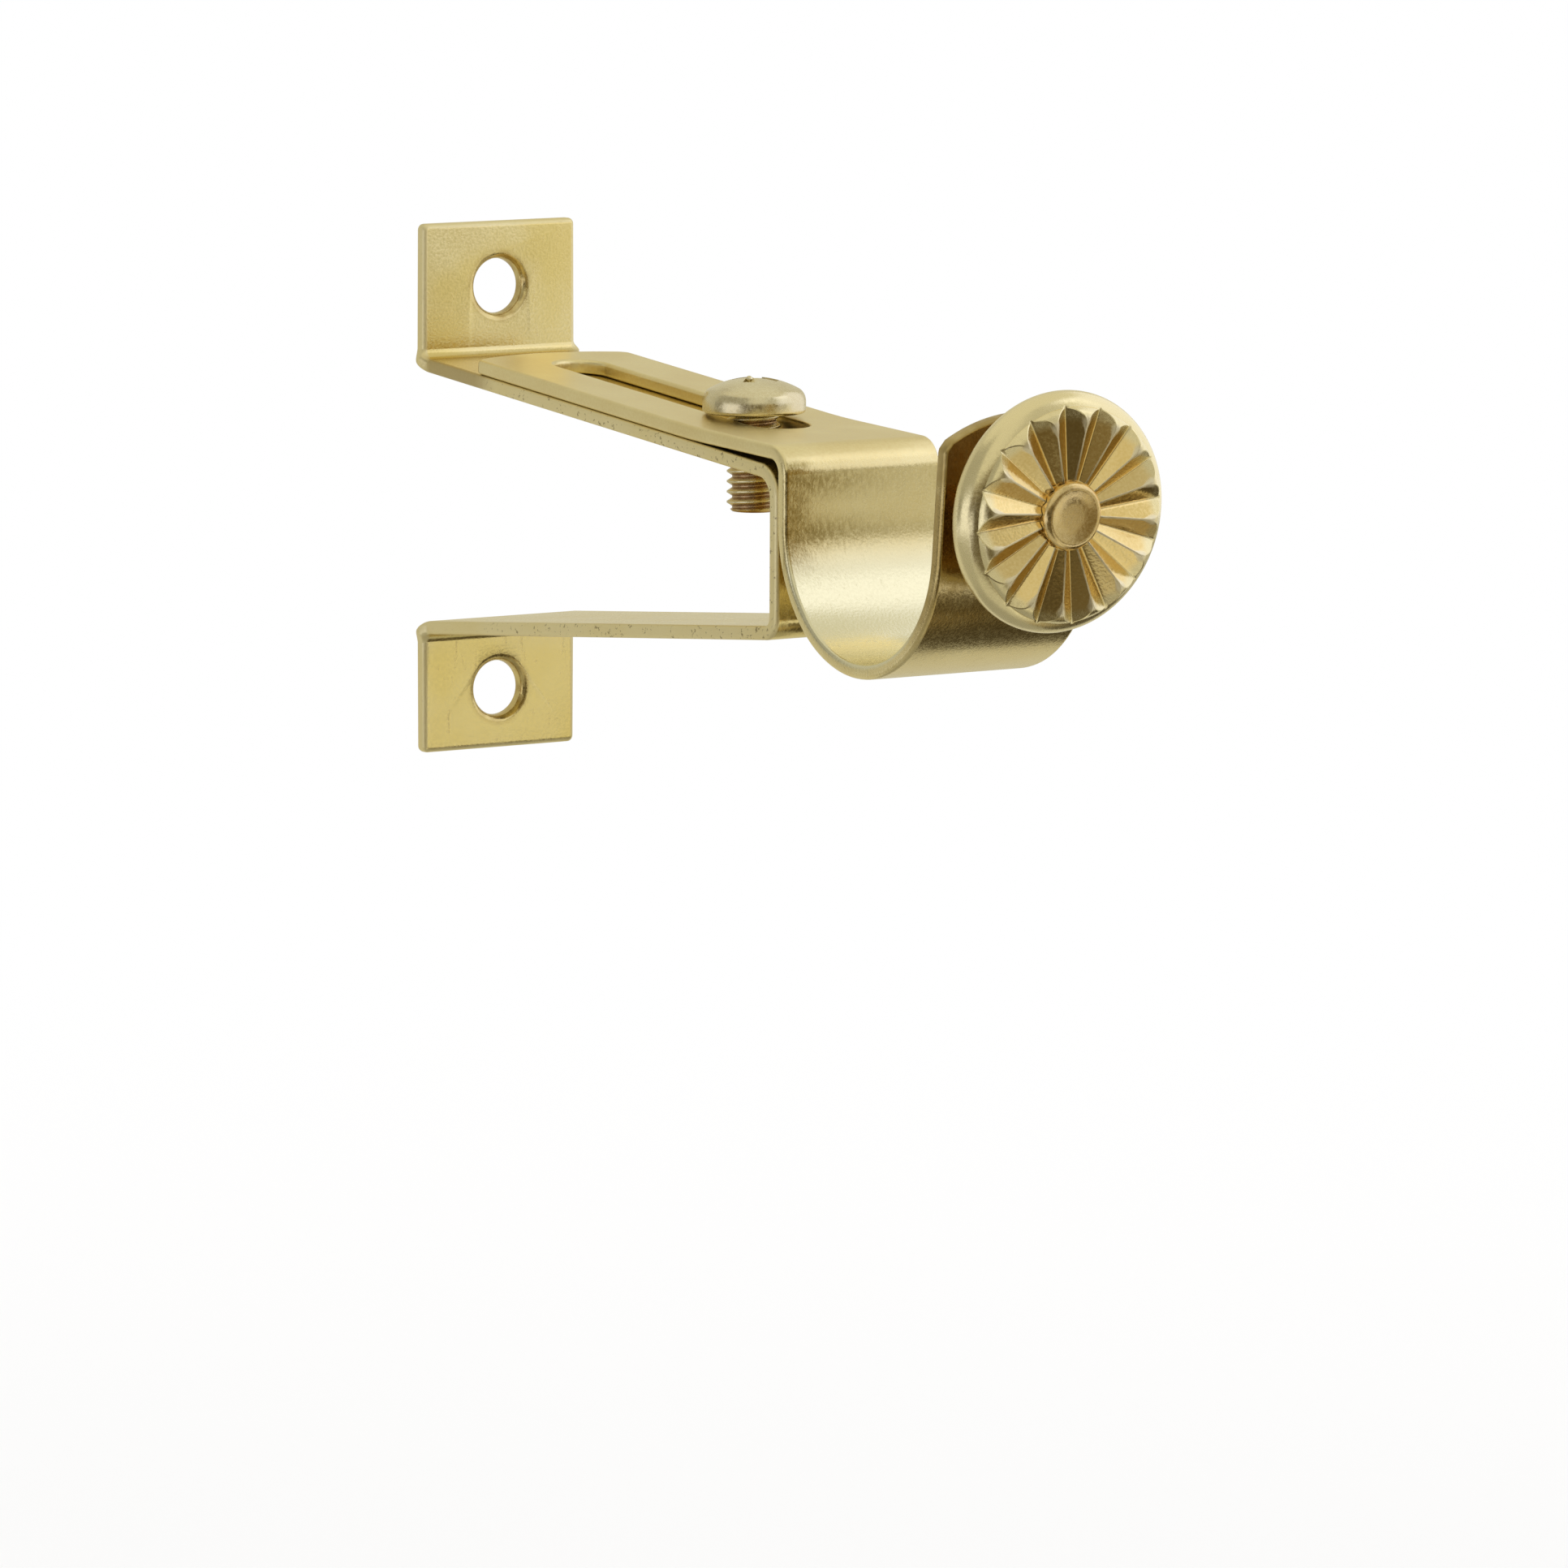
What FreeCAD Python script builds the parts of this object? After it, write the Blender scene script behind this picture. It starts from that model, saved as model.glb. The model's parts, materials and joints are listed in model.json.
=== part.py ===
"""A curtain pole bracket that reaches out from the wall and can be let out further.

A brass strip is folded into a wall bracket with two feet. A second strip slides along its top leg,
is held there by a clamp screw in a slot, and turns down and up again as an open cup for the pole.
A fluted rosette is riveted to the front of the cup.

Millimetres. X runs along the pole, Y into the wall, Z up. The origin is on the wall face, midway
between the two wall screw holes.
"""
import FreeCAD, Part
import math
import os
import Sketcher

Vector = FreeCAD.Vector
Placement = FreeCAD.Placement
Rotation = FreeCAD.Rotation
START, END, CENTRE = 1, 2, 3
X_AXIS = Vector(1, 0, 0)

doc = FreeCAD.newDocument("CurtainPoleBracket")


# The driving dimensions

DRIVING_SIZES = [
    # Both strips
    ("strip_width", 14.3, "width of both strips"),
    ("edge_radius", 0.25, "rounding along the strips' edges"),
    # Wall bracket
    ("bracket_thickness", 1.1, "thickness of the wall bracket's strip"),
    ("projection", 51.4, "wall to the front face of the wall bracket"),
    ("wall_gap", 20.2, "between the facing sides of the two legs, at the wall"),
    ("front_gap", 11.1, "between the facing sides of the two legs, at the front"),
    ("leg_drop", 0.35, "middle of the two legs below the middle of the wall holes"),
    ("wall_bend_radius", 0.75, "inside radius of the bends at the wall"),
    ("upper_bend_radius", 1.6, "inside radius of the upper bend at the front"),
    ("lower_bend_radius", 0.7, "inside radius of the lower bend at the front"),
    ("foot_corner_radius", 0.5, "corners of the two feet"),
    ("hole_spacing", 32.4, "between the two wall screw holes"),
    ("hole_radius", 2.2, "wall screw holes"),
    ("hole_lip", 0.6, "rounded mouth of the wall screw holes"),
    ("upper_margin", 5.2, "upper hole to the end of the upper foot"),
    ("lower_margin", 4.8, "lower hole to the end of the lower foot"),
    # Pole arm
    ("arm_thickness", 1.15, "thickness of the pole arm's strip"),
    ("arm_clearance", 0.03, "between the arm and the faces of the bracket it slides on"),
    ("arm_start", 7.4, "wall to the rounded end of the arm"),
    ("arm_end_bow", 1.5, "how far the arm's end is bowed"),
    ("arm_corner_radius", 0.6, "corners of both ends of the arm"),
    ("arm_bend_radius", 1.05, "inside radius of the bend over the front of the bracket"),
    ("arm_lift", 2.4, "degrees by which the arm springs off the leg beyond the clamp screw"),
    ("lift_beyond_screw", 1.8, "clamp screw to where the arm springs off the leg"),
    ("spring_radius", 80.0, "curve of the arm where it springs off the leg"),
    ("slot_width", 4.5, "clamp screw's slot"),
    ("slot_start", 13.4, "wall to the centre of the slot's inner end"),
    ("slot_beyond_screw", 3.5, "clamp screw to the centre of the slot's outer end"),
    ("cup_radius", 9.6, "inside of the cup, for a 19 mm pole"),
    ("cup_height", 2.0, "pole's axis above the middle of the wall holes"),
    ("wall_lean", 5.3, "degrees by which the cup's front wall leans out"),
    ("lip_height", 11.95, "top of the cup's front wall above the middle of the wall holes"),
    ("lip_bow", 2.15, "how far the top of the cup's front wall is bowed"),
    # Clamp screw
    ("screw_reach", 37.7, "wall to the axis of the clamp screw"),
    ("screw_diameter", 4.2, "over the thread"),
    ("screw_length", 7.6, "under the head"),
    ("screw_chamfer", 0.4, "at the screw's tip"),
    ("thread_clearance", 0.05, "between the screw and its tapped hole"),
    ("seat_clearance", 0.02, "between the screw head and the arm"),
    ("head_diameter", 8.0, "screw head"),
    ("head_side", 1.55, "height of the head's side"),
    ("head_dome", 1.2, "height of the head's dome over its side"),
    ("head_edge", 0.3, "rounding of the head's lower edge"),
    ("recess_span", 4.2, "cross recess from tip to tip"),
    ("recess_width", 0.95, "width of the cross recess's wings"),
    ("recess_depth", 1.7, "cross recess below the top of the head"),
    ("recess_turn", 43.0, "degrees by which the cross recess is turned from the arm"),
    # Rosette
    ("rosette_height", 5.3, "rosette's axis above the middle of the wall holes, at the cup"),
    ("rosette_radius", 9.1, "outer edge of the rosette"),
    ("rosette_turn", 6.4, "degrees by which the flutes are turned from upright"),
    ("rim_radius", 1.6, "rounding of the rosette's outer edge"),
    ("crown_radius", 7.18, "flat top of the fluted crown"),
    ("crown_edge", 1.0, "rounding round the crown"),
    ("crown_height", 0.85, "crown above the floor of the flutes"),
    ("disc_stand_off", 3.05, "cup to the back of the rosette's disc"),
    ("hub_radius", 3.2, "hub behind the disc"),
    ("flute_count", 16, "V flutes round the rosette"),
    ("flute_angle", 111.0, "degrees between the two flanks of a flute"),
    ("flute_floor", 3.0, "floor of the flutes above the back of the disc"),
    # Rosette rivet
    ("rivet_radius", 1.5, "rivet's shank"),
    ("rivet_clearance", 0.05, "round the rivet's shank and head"),
    ("rivet_head_radius", 2.6, "rivet's head in front of the rosette"),
    ("rivet_head_height", 0.85, "rivet's head above the floor of the flutes"),
    ("rivet_head_edge", 0.55, "rounding of the rivet's head"),
    ("rivet_dish_radius", 1.95, "hollow in the face of the rivet's head"),
    ("rivet_dish_depth", 0.12, "depth of that hollow"),
    ("clench_radius", 2.0, "flattened end of the rivet inside the cup"),
    ("clench_height", 0.35, "thickness of that end"),
    ("clench_edge", 0.25, "rounding of that end"),
]

sizes = doc.addObject("Spreadsheet::Sheet", "Sizes")
for row, (alias, value, meaning) in enumerate(DRIVING_SIZES, start=1):
    sizes.set(f"A{row}", meaning)
    sizes.set(f"B{row}", str(value))
    sizes.setAlias(f"B{row}", alias)
doc.recompute()


# Formulas of the driving dimensions that several pieces share

HALF_WIDTH = "Sizes.strip_width / 2"
LEG_SLOPE = "((Sizes.wall_gap - Sizes.front_gap) / 2 / (Sizes.projection - Sizes.bracket_thickness))"
LEG_ANGLE = f"atan({LEG_SLOPE})"
LEG_TOP_AT_WALL = f"(Sizes.wall_gap / 2 - Sizes.leg_drop + Sizes.bracket_thickness / cos({LEG_ANGLE}))"
ARM_TOP_AT_WALL = f"({LEG_TOP_AT_WALL} + Sizes.arm_clearance + Sizes.arm_thickness / cos({LEG_ANGLE}))"
CUP_BACK = "(Sizes.projection + Sizes.arm_clearance + Sizes.arm_thickness)"
LIFT_START = "(Sizes.screw_reach + Sizes.lift_beyond_screw)"
LIFTED_SLOPE = f"tan({LEG_ANGLE} - Sizes.arm_lift * 1 deg)"
CUP_CENTRE = f"({CUP_BACK} + Sizes.cup_radius)"
LEAN_SLOPE = "tan(Sizes.wall_lean)"


def arm_top(out):
    """Height of the arm's top face at a distance out from the wall, where it lies on the leg."""
    return f"({ARM_TOP_AT_WALL} - {LEG_SLOPE} * {out})"


def cup_front(height, thickness="0"):
    """Distance out from the wall of the cup's front wall at a height: its inside, or further out."""
    across = f"(Sizes.cup_radius + {thickness}) / cos(Sizes.wall_lean)"
    return f"({CUP_CENTRE} + {across} + ({height} - Sizes.cup_height) * {LEAN_SLOPE})"


ROSETTE_SEAT = cup_front("Sizes.rosette_height", "Sizes.arm_thickness")


def number(formula):
    """What a formula of the driving dimensions comes to."""
    value = sizes.evalExpression(formula)
    return float(getattr(value, "Value", value))


def bind(owner, formulas):
    """Ties properties of an object to formulas of the driving dimensions."""
    for name, formula in formulas.items():
        owner.setExpression(name, formula)


# Sketches

class Outline:
    """A sketch whose lines and arcs are drawn in place and then held by constraints."""

    def __init__(self, sketch):
        self.sketch = sketch

    def line(self, start, end, construction=False):
        segment = Part.LineSegment(Vector(*start, 0), Vector(*end, 0))
        return self.sketch.addGeometry(segment, construction)

    def arc(self, centre, start, end):
        """An arc that runs anticlockwise from start to end."""
        radius = math.dist(centre, start)
        first = math.atan2(start[1] - centre[1], start[0] - centre[0])
        last = math.atan2(end[1] - centre[1], end[0] - centre[0])
        if last <= first:
            last += 2 * math.pi
        circle = Part.Circle(Vector(*centre, 0), Vector(0, 0, 1), radius)
        return self.sketch.addGeometry(Part.ArcOfCircle(circle, first, last), False)

    def hold(self, kind, *where):
        return self.sketch.addConstraint(Sketcher.Constraint(kind, *where))

    def measure(self, kind, *where, formula):
        held = self.hold(kind, *where, number(formula))
        self.sketch.setExpression(f"Constraints[{held}]", formula)

    def place(self, shape, point, across, up):
        """Holds a point of a line or arc at two formulas."""
        self.measure("DistanceX", shape, point, formula=across)
        self.measure("DistanceY", shape, point, formula=up)

    def polygon(self, corners):
        """A closed outline through corners given as pairs of formulas."""
        points = [(number(across), number(up)) for across, up in corners]
        sides = [self.line(a, b) for a, b in zip(points, points[1:] + points[:1])]
        for this, (side, corner) in enumerate(zip(sides, corners)):
            self.hold("Coincident", sides[this - 1], END, side, START)
            self.place(side, START, *corner)
        return sides


def body_sketch(body, name, plane):
    """A sketch on one of a body's own origin planes."""
    sketch = body.newObject("Sketcher::SketchObject", name)
    face = [f for f in body.Origin.OriginFeatures if f.Role == plane][0]
    sketch.AttachmentSupport = [(face, "")]
    sketch.MapMode = "FlatFace"
    return sketch


def profile_sketch(name):
    """A sketch seen from the left: across is the distance out from the wall, and up is up."""
    sketch = doc.addObject("Sketcher::SketchObject", name)
    sketch.Placement = Placement(
        Vector(0, 0, 0), Rotation(Vector(0, -1, 0), Vector(0, 0, 1), Vector(-1, 0, 0), "XYZ")
    )
    return sketch


def bend(before, corner, after, radius):
    """Where a bend of a radius meets the two straights at a corner, and its centre."""
    inward = [Vector(a[0] - corner[0], a[1] - corner[1], 0).normalize() for a in (before, after)]
    half_angle = inward[0].getAngle(inward[1]) / 2
    reach = radius / math.tan(half_angle)
    middle = (inward[0] + inward[1]).normalize() * (radius / math.sin(half_angle))
    ends = [(corner[0] + way.x * reach, corner[1] + way.y * reach) for way in inward]
    turns_left = inward[0].cross(inward[1]).z < 0
    return ends[0], ends[1], (corner[0] + middle.x, corner[1] + middle.y), turns_left


def fold_line(name, corners, radii):
    """One face of a strip folded from straight to straight, seen from the left."""
    outline = Outline(profile_sketch(name))
    points = [(number(out), number(up)) for out, up in corners]
    guides = [outline.line(a, b, construction=True) for a, b in zip(points, points[1:])]
    for guide, corner in zip(guides, corners):
        outline.place(guide, START, *corner)
    outline.place(guides[-1], END, *corners[-1])
    for guide, following in zip(guides, guides[1:]):
        outline.hold("PointOnObject", guide, END, following)
        outline.hold("PointOnObject", following, START, guide)
    bends = [
        bend(*points[i:i + 3], number(radius)) for i, radius in enumerate(radii)
    ]
    starts = [points[0]] + [b[1] for b in bends]
    ends = [b[0] for b in bends] + [points[-1]]
    straights = [outline.line(a, b) for a, b in zip(starts, ends)]
    outline.hold("Coincident", straights[0], START, guides[0], START)
    outline.hold("Coincident", straights[-1], END, guides[-1], END)
    for place, (into, out_of, centre, turns_left) in enumerate(bends):
        ordered = (into, out_of) if turns_left else (out_of, into)
        arc = outline.arc(centre, *ordered)
        outline.hold("PointOnObject", straights[place], END, guides[place])
        outline.hold("PointOnObject", straights[place + 1], START, guides[place + 1])
        near, far = (START, END) if turns_left else (END, START)
        outline.hold("Tangent", straights[place], END, arc, near)
        outline.hold("Tangent", arc, far, straights[place + 1], START)
        outline.measure("Radius", arc, formula=radii[place])
    return outline.sketch


# Bodies and their features

def new_body(label, blank=None):
    body = doc.addObject("PartDesign::Body", label)
    body.Label = label
    if blank:
        body.BaseFeature = blank
    doc.recompute()
    return body


def folded_strip(label, fold, thickness):
    """A body whose blank is a strip of a thickness, laid on the right of its fold line."""
    section = doc.addObject("Part::Offset2D", label + "_section")
    section.Source = fold
    section.Mode = "Skin"
    section.Join = "Intersection"
    section.Fill = True
    bind(section, {"Value": f"-{thickness}"})
    blank = doc.addObject("Part::Extrusion", label + "_blank")
    blank.Base = section
    blank.DirMode = "Normal"
    blank.Symmetric = True
    blank.Solid = True
    bind(blank, {"LengthFwd": "Sizes.strip_width"})
    return new_body(label, blank)


def revolve(body, name, sketch):
    feature = body.newObject("PartDesign::Revolution", name)
    feature.Profile = sketch
    feature.ReferenceAxis = (sketch, ["V_Axis"])
    feature.Angle = 360
    doc.recompute()
    return feature


def pocket(body, name, sketch, reverse, depth=None):
    """Cuts a sketch through everything on one side of it, or to a depth."""
    feature = body.newObject("PartDesign::Pocket", name)
    feature.Profile = sketch
    feature.Type = "Length" if depth else "ThroughAll"
    feature.Reversed = reverse
    if depth:
        bind(feature, {"Length": depth})
    doc.recompute()
    return feature


def drill(body, name, radius, height, placement, formulas):
    feature = body.newObject("PartDesign::SubtractiveCylinder", name)
    feature.Placement = placement
    bind(feature, {"Radius": radius, "Height": height, **formulas})
    doc.recompute()
    return feature


def fillet(body, name, base, chosen, radius):
    """Rounds the edges of a feature that a test chooses."""
    names = [f"Edge{i}" for i, edge in enumerate(base.Shape.Edges, start=1) if chosen(edge)]
    feature = body.newObject("PartDesign::Fillet", name)
    feature.Base = (base, names)
    bind(feature, {"Radius": radius})
    doc.recompute()
    return feature


NEAR = 1e-4

# Waste of a blank beyond its finished end, and of a cut beyond the blank
BLANK_WASTE = "1"
CUT_WASTE = "2"

# Drills start two strip thicknesses before a strip's far face and go four deep
DRILL_START = "2"
DRILL_LENGTH = "4"


def middle_of(edge):
    return edge.valueAt((edge.FirstParameter + edge.LastParameter) / 2)


def runs_through(edge):
    """True of the short straight edges that run through a strip from face to face."""
    return edge.Curve.TypeId == "Part::GeomLine" and abs(edge.tangentAt(edge.FirstParameter).x) < NEAR


def bowed_end(sketch, top, bow):
    """The waste beyond an end that is bowed across the strip: what an outline's corners leave out."""
    outline = Outline(sketch)
    half = number(HALF_WIDTH)
    peak, corner = number(top), number(f"{top} - {bow}")
    waste = number(CUT_WASTE)
    radius = (half ** 2 + number(bow) ** 2) / 2 / number(bow)
    points = [
        (half, corner), (half + waste, corner), (half + waste, peak + waste),
        (-half - waste, peak + waste), (-half - waste, corner), (-half, corner),
    ]
    sides = [outline.line(a, b) for a, b in zip(points, points[1:])]
    for this, following in zip(sides, sides[1:]):
        outline.hold("Coincident", this, END, following, START)
    for side, kind in zip(sides, ("Horizontal", "Vertical", "Horizontal", "Vertical", "Horizontal")):
        outline.hold(kind, side)
    arc = outline.arc((0, peak - radius), points[0], points[-1])
    outline.hold("Coincident", arc, START, sides[0], START)
    outline.hold("Coincident", arc, END, sides[-1], END)
    outline.place(arc, START, HALF_WIDTH, f"{top} - {bow}")
    outline.place(arc, END, f"-({HALF_WIDTH})", f"{top} - {bow}")
    bow_radius = f"({HALF_WIDTH} * {HALF_WIDTH} + {bow} * {bow}) / 2 / {bow}"
    outline.measure("DistanceY", arc, CENTRE, formula=f"{top} - {bow_radius}")
    for side in (sides[0], sides[-1]):
        outline.measure("DistanceX", side, START, side, END, formula=CUT_WASTE)
    outline.measure("DistanceY", sides[1], END, formula=f"{top} + {CUT_WASTE}")
    return sketch


def wall_bracket():
    """One strip: lower foot, lower leg, front, top leg and upper foot, with every hole in it."""
    inner_front = "(Sizes.projection - Sizes.bracket_thickness)"
    outer_bend = "Sizes.wall_bend_radius + Sizes.bracket_thickness"
    lower_end = "-(Sizes.hole_spacing / 2 + Sizes.lower_margin)"
    upper_end = "Sizes.hole_spacing / 2 + Sizes.upper_margin"
    corners = [
        ("0", lower_end),
        ("0", "-(Sizes.wall_gap / 2) - Sizes.leg_drop"),
        (inner_front, "-(Sizes.front_gap / 2) - Sizes.leg_drop"),
        (inner_front, "Sizes.front_gap / 2 - Sizes.leg_drop"),
        ("0", "Sizes.wall_gap / 2 - Sizes.leg_drop"),
        ("0", upper_end),
    ]
    radii = [outer_bend, "Sizes.lower_bend_radius", "Sizes.upper_bend_radius", outer_bend]
    body = folded_strip("wall_bracket", fold_line("BracketFold", corners, radii), "Sizes.bracket_thickness")

    top, bottom = number(upper_end), number(lower_end)
    half = number(HALF_WIDTH)
    blunt = fillet(
        body, "FootCorners", body.Tip,
        lambda edge: runs_through(edge) and (
            abs(middle_of(edge).z - top) < NEAR or abs(middle_of(edge).z - bottom) < NEAR),
        "Sizes.foot_corner_radius",
    )
    half_leg = number(inner_front) / 2
    fillet(
        body, "StripEdges", blunt,
        lambda edge: abs(abs(middle_of(edge).x) - half) < NEAR and edge.Length > half_leg,
        "Sizes.edge_radius",
    )
    front_way = Placement(Vector(0, 0, 0), Rotation(X_AXIS, 90))
    for name, side in (("UpperHole", "1"), ("LowerHole", "-1")):
        drilled = drill(
            body, name, "Sizes.hole_radius", f"{DRILL_LENGTH} * Sizes.bracket_thickness", front_way,
            {"Placement.Base.y": f"{DRILL_START} * Sizes.bracket_thickness",
             "Placement.Base.z": f"{side} * Sizes.hole_spacing / 2"},
        )
    thickness = number("Sizes.bracket_thickness")
    bore = number("Sizes.hole_radius")
    fillet(
        body, "HoleMouths", drilled,
        lambda edge: edge.Curve.TypeId == "Part::GeomCircle" and abs(edge.Curve.Radius - bore) < NEAR
        and abs(edge.Curve.Center.y + thickness) < NEAR,
        "Sizes.hole_lip",
    )
    drill(
        body, "TappedHole", "Sizes.screw_diameter / 2 + Sizes.thread_clearance", "Sizes.wall_gap",
        Placement(), {"Placement.Base.y": "-Sizes.screw_reach"},
    )
    return body


def pole_arm():
    """One strip: the slotted arm, the bend over the bracket's front, the cup and its front wall."""
    outline = Outline(profile_sketch("ArmFold"))
    outer_bend = "Sizes.arm_bend_radius + Sizes.arm_thickness"
    blank_start = f"(Sizes.arm_start - {BLANK_WASTE})"
    blank_top = f"(Sizes.lip_height + {BLANK_WASTE})"
    corner_height = f"({arm_top(LIFT_START)} - {LIFTED_SLOPE} * ({CUP_BACK} - {LIFT_START}))"
    guide_ends = (
        (blank_start, arm_top(blank_start)), (LIFT_START, arm_top(LIFT_START)), (CUP_BACK, corner_height),
    )
    tail, kink, corner = [(number(out), number(up)) for out, up in guide_ends]
    tip = (number(cup_front(blank_top)), number(blank_top))
    lean = math.radians(number("Sizes.wall_lean"))
    cup = number("Sizes.cup_radius")
    centre = (number(CUP_CENTRE), number("Sizes.cup_height"))
    back = (centre[0] - cup, centre[1])
    front = (centre[0] + cup * math.cos(lean), centre[1] - cup * math.sin(lean))
    leaves, lifted_from, spring_centre, _ = bend(tail, kink, corner, number("Sizes.spring_radius"))
    into, out_of, bend_centre, _ = bend(kink, corner, back, number(outer_bend))

    resting = outline.line(tail, kink, construction=True)
    rising = outline.line(kink, corner, construction=True)
    outline.place(resting, START, *guide_ends[0])
    outline.place(rising, START, *guide_ends[1])
    outline.place(rising, END, *guide_ends[2])
    outline.hold("Coincident", resting, END, rising, START)
    arm = outline.line(tail, leaves)
    spring = outline.arc(spring_centre, leaves, lifted_from)
    lifted = outline.line(lifted_from, into)
    over = outline.arc(bend_centre, out_of, into)
    back_wall = outline.line(out_of, back)
    bowl = outline.arc(centre, back, front)
    front_wall = outline.line(front, tip)
    outline.hold("Coincident", arm, START, resting, START)
    outline.hold("PointOnObject", arm, END, resting)
    outline.hold("Tangent", arm, END, spring, START)
    outline.hold("Tangent", spring, END, lifted, START)
    outline.hold("PointOnObject", lifted, START, rising)
    outline.hold("PointOnObject", lifted, END, rising)
    outline.hold("Tangent", lifted, END, over, END)
    outline.hold("Tangent", over, START, back_wall, START)
    outline.hold("Tangent", back_wall, END, bowl, START)
    outline.hold("Tangent", bowl, END, front_wall, START)
    outline.hold("Vertical", back_wall)
    outline.measure("Radius", spring, formula="Sizes.spring_radius")
    outline.measure("Radius", over, formula=outer_bend)
    outline.measure("Radius", bowl, formula="Sizes.cup_radius")
    outline.place(bowl, CENTRE, CUP_CENTRE, "Sizes.cup_height")
    outline.place(front_wall, END, cup_front(blank_top), blank_top)
    body = folded_strip("pole_arm", outline.sketch, "Sizes.arm_thickness")

    end_sketch = body_sketch(body, "ArmEndWaste", "XY_Plane")
    bowed_end(end_sketch, "-Sizes.arm_start", "Sizes.arm_end_bow")
    pocket(body, "ArmEnd", end_sketch, reverse=True)
    lip_sketch = body_sketch(body, "LipWaste", "XZ_Plane")
    bind(lip_sketch, {"AttachmentOffset.Base.z": CUP_CENTRE})
    bowed_end(lip_sketch, "Sizes.lip_height", "Sizes.lip_bow")
    doc.recompute()
    trimmed = pocket(body, "Lip", lip_sketch, reverse=True)

    half = number(HALF_WIDTH)
    wall_end = -number("Sizes.arm_start + Sizes.arm_end_bow")
    lip_end = number("Sizes.lip_height - Sizes.lip_bow")
    blunt = fillet(
        body, "ArmCorners", trimmed,
        lambda edge: runs_through(edge) and abs(abs(middle_of(edge).x) - half) < NEAR
        and (abs(middle_of(edge).y - wall_end) < NEAR or abs(middle_of(edge).z - lip_end) < NEAR),
        "Sizes.arm_corner_radius",
    )
    bottom = number("Sizes.cup_height")
    fillet(
        body, "StripEdges", blunt,
        lambda edge: abs(abs(middle_of(edge).x) - half) < NEAR and middle_of(edge).z < bottom
        and edge.Curve.TypeId == "Part::GeomCircle",
        "Sizes.edge_radius",
    )

    slot = body_sketch(body, "SlotOutline", "XY_Plane")
    cut_slot(slot)
    pocket(body, "Slot", slot, reverse=True)
    before_wall = f"({DRILL_START} * Sizes.arm_thickness)"
    drill(
        body, "RivetHole", "Sizes.rivet_radius + Sizes.rivet_clearance",
        f"{DRILL_LENGTH} * Sizes.arm_thickness",
        Placement(Vector(0, 0, 0), Rotation(X_AXIS, 90 + number("Sizes.wall_lean"))),
        {"Placement.Base.y": f"{before_wall} * cos(Sizes.wall_lean) - {ROSETTE_SEAT}",
         "Placement.Base.z": f"Sizes.rosette_height + {before_wall} * sin(Sizes.wall_lean)",
         "Placement.Rotation.Angle": "(90 + Sizes.wall_lean) * 1 deg"},
    )
    return body


def cut_slot(sketch):
    """The clamp screw's slot, along the arm."""
    outline = Outline(sketch)
    radius = "Sizes.slot_width / 2"
    half = number(radius)
    slot_end = "-(Sizes.screw_reach + Sizes.slot_beyond_screw)"
    inner, outer = -number("Sizes.slot_start"), number(slot_end)
    left = outline.line((-half, outer), (-half, inner))
    right = outline.line((half, inner), (half, outer))
    inner_end = outline.arc((0, inner), (half, inner), (-half, inner))
    outer_end = outline.arc((0, outer), (-half, outer), (half, outer))
    outline.hold("Tangent", left, END, inner_end, END)
    outline.hold("Tangent", inner_end, START, right, START)
    outline.hold("Tangent", right, END, outer_end, END)
    outline.hold("Tangent", outer_end, START, left, START)
    outline.hold("Vertical", left)
    outline.measure("Radius", inner_end, formula=radius)
    outline.place(inner_end, CENTRE, "0", "-Sizes.slot_start")
    outline.measure("DistanceY", outer_end, CENTRE, formula=slot_end)
    doc.recompute()


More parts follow.
